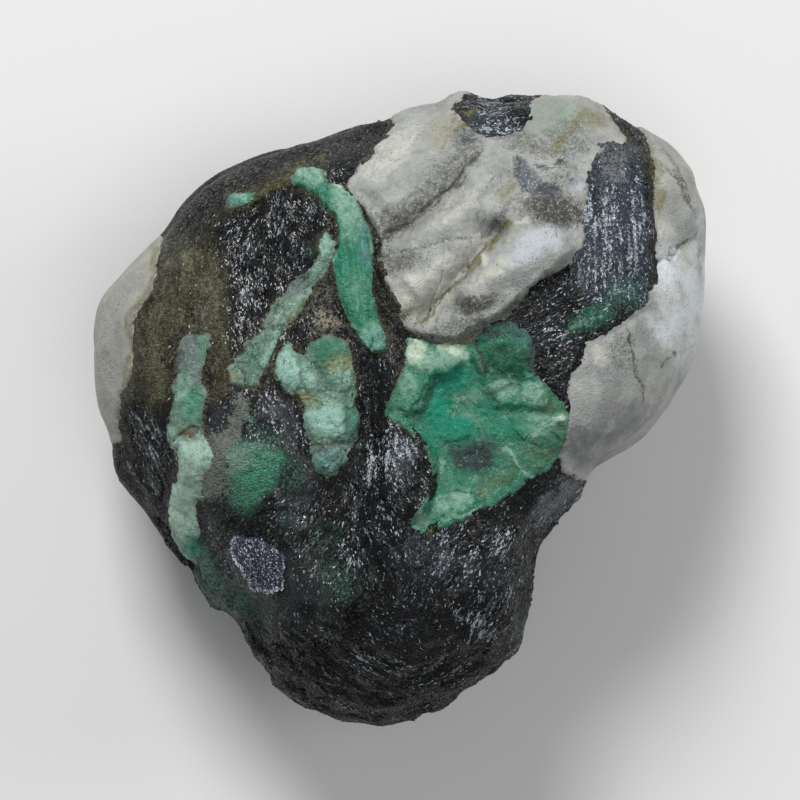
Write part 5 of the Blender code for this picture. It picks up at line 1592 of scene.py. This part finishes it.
# Small flat-topped flakes: three corners on an oval round each spot, and a fourth point below that closes it
def scaleMesh(spot, normal, along, lengths, widths, lift, sink, draw):
    along = along - normal * (along * normal).sum(1, keepdims=True)
    along /= np.linalg.norm(along, axis=1, keepdims=True)
    across = np.cross(normal, along)
    angle = draw.uniform(0, 2 * math.pi, (len(spot), 1)) + draw.normal(0, 0.35, (len(spot), 3))
    angle = angle + np.array([[0, 2.1, 4.2]])  # about a third of a turn apart
    corner = (spot[:, None] + normal[:, None] * lift[:, None, None]
              + along[:, None] * (np.cos(angle) * lengths[:, None] / 2)[..., None]
              + across[:, None] * (np.sin(angle) * widths[:, None] / 2)[..., None])
    apex = spot - normal * sink[:, None]
    points = np.concatenate([corner, apex[:, None]], 1).reshape(-1, 3)
    first = np.arange(len(spot))[:, None, None] * 4
    faces = first + np.array([[0, 1, 2], [1, 0, 3], [2, 1, 3], [0, 2, 3]])
    return points, [faces.reshape(-1, 3)]


# Turns a direction by a small random amount each way
def tipped(normal, spread, draw):
    moved = normal + draw.normal(0, 1, normal.shape) * spread[:, None]
    return moved / np.linalg.norm(moved, axis=1, keepdims=True)


# A level direction for each heading, or one that climbs by a given slope
def headingVector(heading, slope=0.0):
    return np.stack([np.cos(heading), np.sin(heading), np.full(len(heading), slope)], 1)


# How thickly scales lie on each cell: more in the glittering zones, fewer in the worn and stained ones, in
# patches, on the set's own side of the rim, and none over a crystal or near the ground
def scaleDensity(cell, corner, side):
    density = np.ones(side.shape)
    for zone, more in scales["more"].items():
        density += more * cell[zone]
    for zone, fewer in scales["fewer"].items():
        density *= np.clip(1 - fewer * cell[zone], 0, 1)
    density *= 0.35 + 1.3 * ease(smoothNoise(corner, 1.6, 31), -0.5, 0.6)
    return density * (side * (skinCovered[:-1] < 0.05) * (corner[..., 2] > 0.6))


# Each scale's shade: nearly all are close to black, and the bright ones, which are painted glints, lie in
# strands along the grain
def scaleToneAndGlint(spot, grain, here, draw):
    count = len(spot)
    patch = ease(grainNoise(spot, grain, 2.6, 0.8, 44) + 0.8 * smoothNoise(spot, 3.5, 45), -0.4, 0.8)
    gloss = np.clip(np.maximum.reduce([here["glint"], 1.2 * here["silver"], 0.22 * here["hollow"]]), 0, 1)
    strand = ease(grainNoise(spot, grain, 1.4, 0.17, 46), 0.0, 0.5)
    chance = (0.02 + 0.11 * patch + gloss * (0.10 + 0.38 * patch)) * (0.25 + 2.6 * strand)
    bright = draw.random(count) < chance
    glitter = draw.uniform(0.1, 1.0, count) * (0.7 + 0.3 * gloss)
    shade = np.where(bright, glitter, 0.015 * draw.random(count))
    shade += 0.07 * here["slate"] * ease(smoothNoise(spot, 1.5, 47), -0.1, 0.5)
    for zone, duller in scales["duller"].items():
        shade *= 1 - duller * here[zone]
    return shade


# A set of scales strewn over the skin by density: along the grain on the upper side, level round the sides
def makeScales(name, count, seed):
    draw = np.random.default_rng(seed)
    corner = skinPoints[:-1]
    one, two = np.roll(skinPoints, -1, 1)[:-1] - corner, skinPoints[1:] - corner
    cross = np.cross(one, two)
    area = np.linalg.norm(cross, axis=-1)
    cell = {key: value[:-1] for key, value in skinValues.items()}
    high = ease(corner[..., 2], 9.0, 14.0)
    side = 1 - high if name == "mica_scales_lower" else high
    thickness = (area * scaleDensity(cell, corner, side)).ravel()
    pick = draw.choice(thickness.size, count, p=thickness / thickness.sum())
    row, column = np.unravel_index(pick, area.shape)
    u, v = draw.random((2, count, 1))
    spot = corner[row, column] + one[row, column] * u + two[row, column] * v
    normal = cross[row, column] / area[row, column][:, None]
    here = {key: value[row, column] for key, value in cell.items()}
    high = high[row, column][:, None]
    grain = grainHeading(spot[:, 0], spot[:, 1])
    flow = headingVector(grain + draw.normal(0, scales["stray"], count))
    level = headingVector(math.pi / 2 + np.arctan2(spot[:, 1], spot[:, 0]), 0.25)
    along = flow * high + level * (1 - high)
    equant = np.clip(here["silver"] * 0.9 + here["slate"] * 0.4, 0, 1)
    lengths = (draw.gamma(3.0, 0.085, count) + 0.14) * (1 - 0.25 * equant)
    widths = (0.08 + 0.11 * draw.random(count)) * (1 + 0.5 * equant)
    flatter = 0.2 + 0.8 * np.clip(normal[:, 2], 0, 1)  # on the sides they lie closer, to keep the edge plain
    lengths *= 0.5 + 0.5 * flatter
    lift = draw.uniform(*scales["lift"], count) * flatter
    least, more = scales["tilt"]
    tilted = tipped(normal, (least + more * draw.random(count)) * flatter, draw)
    sink = np.full(count, scales["sink"])
    points, faces = scaleMesh(spot, tilted, along, lengths, widths, lift, sink, draw)
    values = {
        "shade": scaleToneAndGlint(spot, grain, here, draw),
        "olive": here["olive"], "silver": here["silver"],
        "green": np.maximum(here["green"], 0.45 * here["teal"]),
    }
    values = {key: np.repeat(np.clip(value, 0, 1), 4) for key, value in values.items()}
    makePiece(name, points, faces, finishes["scales"], None, values, False)


for name, count, seed in scales["sets"]:
    makeScales(name, count, seed)
print("scales ready")


# The mica book: a low slab, with its own silver scales strewn over it at steeper tilts. Its bright scales are
# painted sparkle, and a border of scales on its lower left is brighter
def makeBook():
    grid, count = crystalGrid(book), book["scales"]
    slab = makeInlaid("mica_book", book, grid)
    slab.data.attributes.new("shade", "FLOAT", "POINT")
    reach = crystalReach(book, grid).ravel()
    draw = np.random.default_rng(21)
    inside = (reach > 0.08).astype(float)
    pick = draw.choice(inside.size, count, p=inside / inside.sum())
    up = gridNormals(grid).reshape(-1, 3)[pick]
    spot = grid.reshape(-1, 3)[pick] + up * book["proud"] + draw.uniform(-0.04, 0.04, (count, 3))
    along = headingVector(draw.uniform(0, math.pi, count))
    lengths, widths = draw.uniform(*book["scaleSizes"], (2, count))
    tilted = tipped(up, np.full(count, book["scaleTilt"]), draw)
    lift, sink = np.full(count, book["scaleLift"]), np.full(count, book["scaleSink"])
    points, faces = scaleMesh(spot, tilted, along, lengths, widths * 0.7, lift, sink, draw)
    middleX, middleY = book["middle"]
    lowerLeft = np.clip(0.5 - 0.25 * (spot[:, 0] - middleX) - 0.25 * (spot[:, 1] - middleY), 0, 1)
    border = lowerLeft * (reach[pick] < 0.35)
    shade = draw.random(count) ** 5 + 0.8 * border * draw.random(count) ** 1.5
    values = {"shade": np.repeat(np.clip(shade, 0, 1), 4)}
    makePiece("mica_book_scales", points, faces, finishes["silver_mica"], None, values, False)


makeBook()
print("mica book ready")

studio = {
    "floor": (0.70, 0.70, 0.69), "floorHalf": 2,  # colour, and half width in metres
    "world": (0.80, 0.82, 0.85), "worldStrength": 0.25,
    # place in metres, width in metres, watts
    "lamps": [
        ((-0.12, 0.42, 0.46), 0.20, 3.7), ((0.10, -0.12, 0.75), 0.35, 1.1), ((0.52, 0.14, 0.30), 0.25, 1.0),
    ],
    "cameraAt": (0.00008, 0.00070, 0.700), "lens": 377.0,
}


# The floor, three soft lamps turned to the origin, the world and the camera, which looks straight down
def makeStudio():
    half = studio["floorHalf"]
    mesh = bpy.data.meshes.new("floor")
    corners = [(-half, -half, 0), (half, -half, 0), (half, half, 0), (-half, half, 0)]
    mesh.from_pydata(corners, [], [(0, 1, 2, 3)])
    floor = bpy.data.objects.new("floor", mesh)
    bpy.context.scene.collection.objects.link(floor)
    made, tree, shader, place = newFinish("floor")
    tone = studio["floor"]
    soft = blendColours(tree, noiseAt(tree, place, 0.02), tone, tuple(0.97 * part for part in tone))
    tree.links.new(soft, shader.inputs["Base Color"])
    shader.inputs["Roughness"].default_value = 0.8
    mesh.materials.append(made)
    for number, (lampAt, width, watts) in enumerate(studio["lamps"]):
        light = bpy.data.lights.new("softbox_%d" % number, "AREA")
        light.size = width
        light.energy = watts
        lamp = bpy.data.objects.new(light.name, light)
        lamp.location = lampAt
        lamp.rotation_euler = (-lamp.location).to_track_quat("-Z", "Y").to_euler()
        bpy.context.scene.collection.objects.link(lamp)
    world = bpy.data.worlds.new("studio")
    world.use_nodes = True
    background = world.node_tree.nodes["Background"]
    background.inputs["Color"].default_value = (*studio["world"], 1)
    background.inputs["Strength"].default_value = studio["worldStrength"]
    bpy.context.scene.world = world
    bpy.context.scene.view_settings.view_transform = "Standard"
    camera = bpy.data.objects.new("camera", bpy.data.cameras.new("camera"))
    camera.data.lens = studio["lens"]
    camera.data.sensor_width = 36.0
    camera.location = studio["cameraAt"]
    bpy.context.scene.collection.objects.link(camera)
    bpy.context.scene.camera = camera


makeStudio()
print("studio ready")
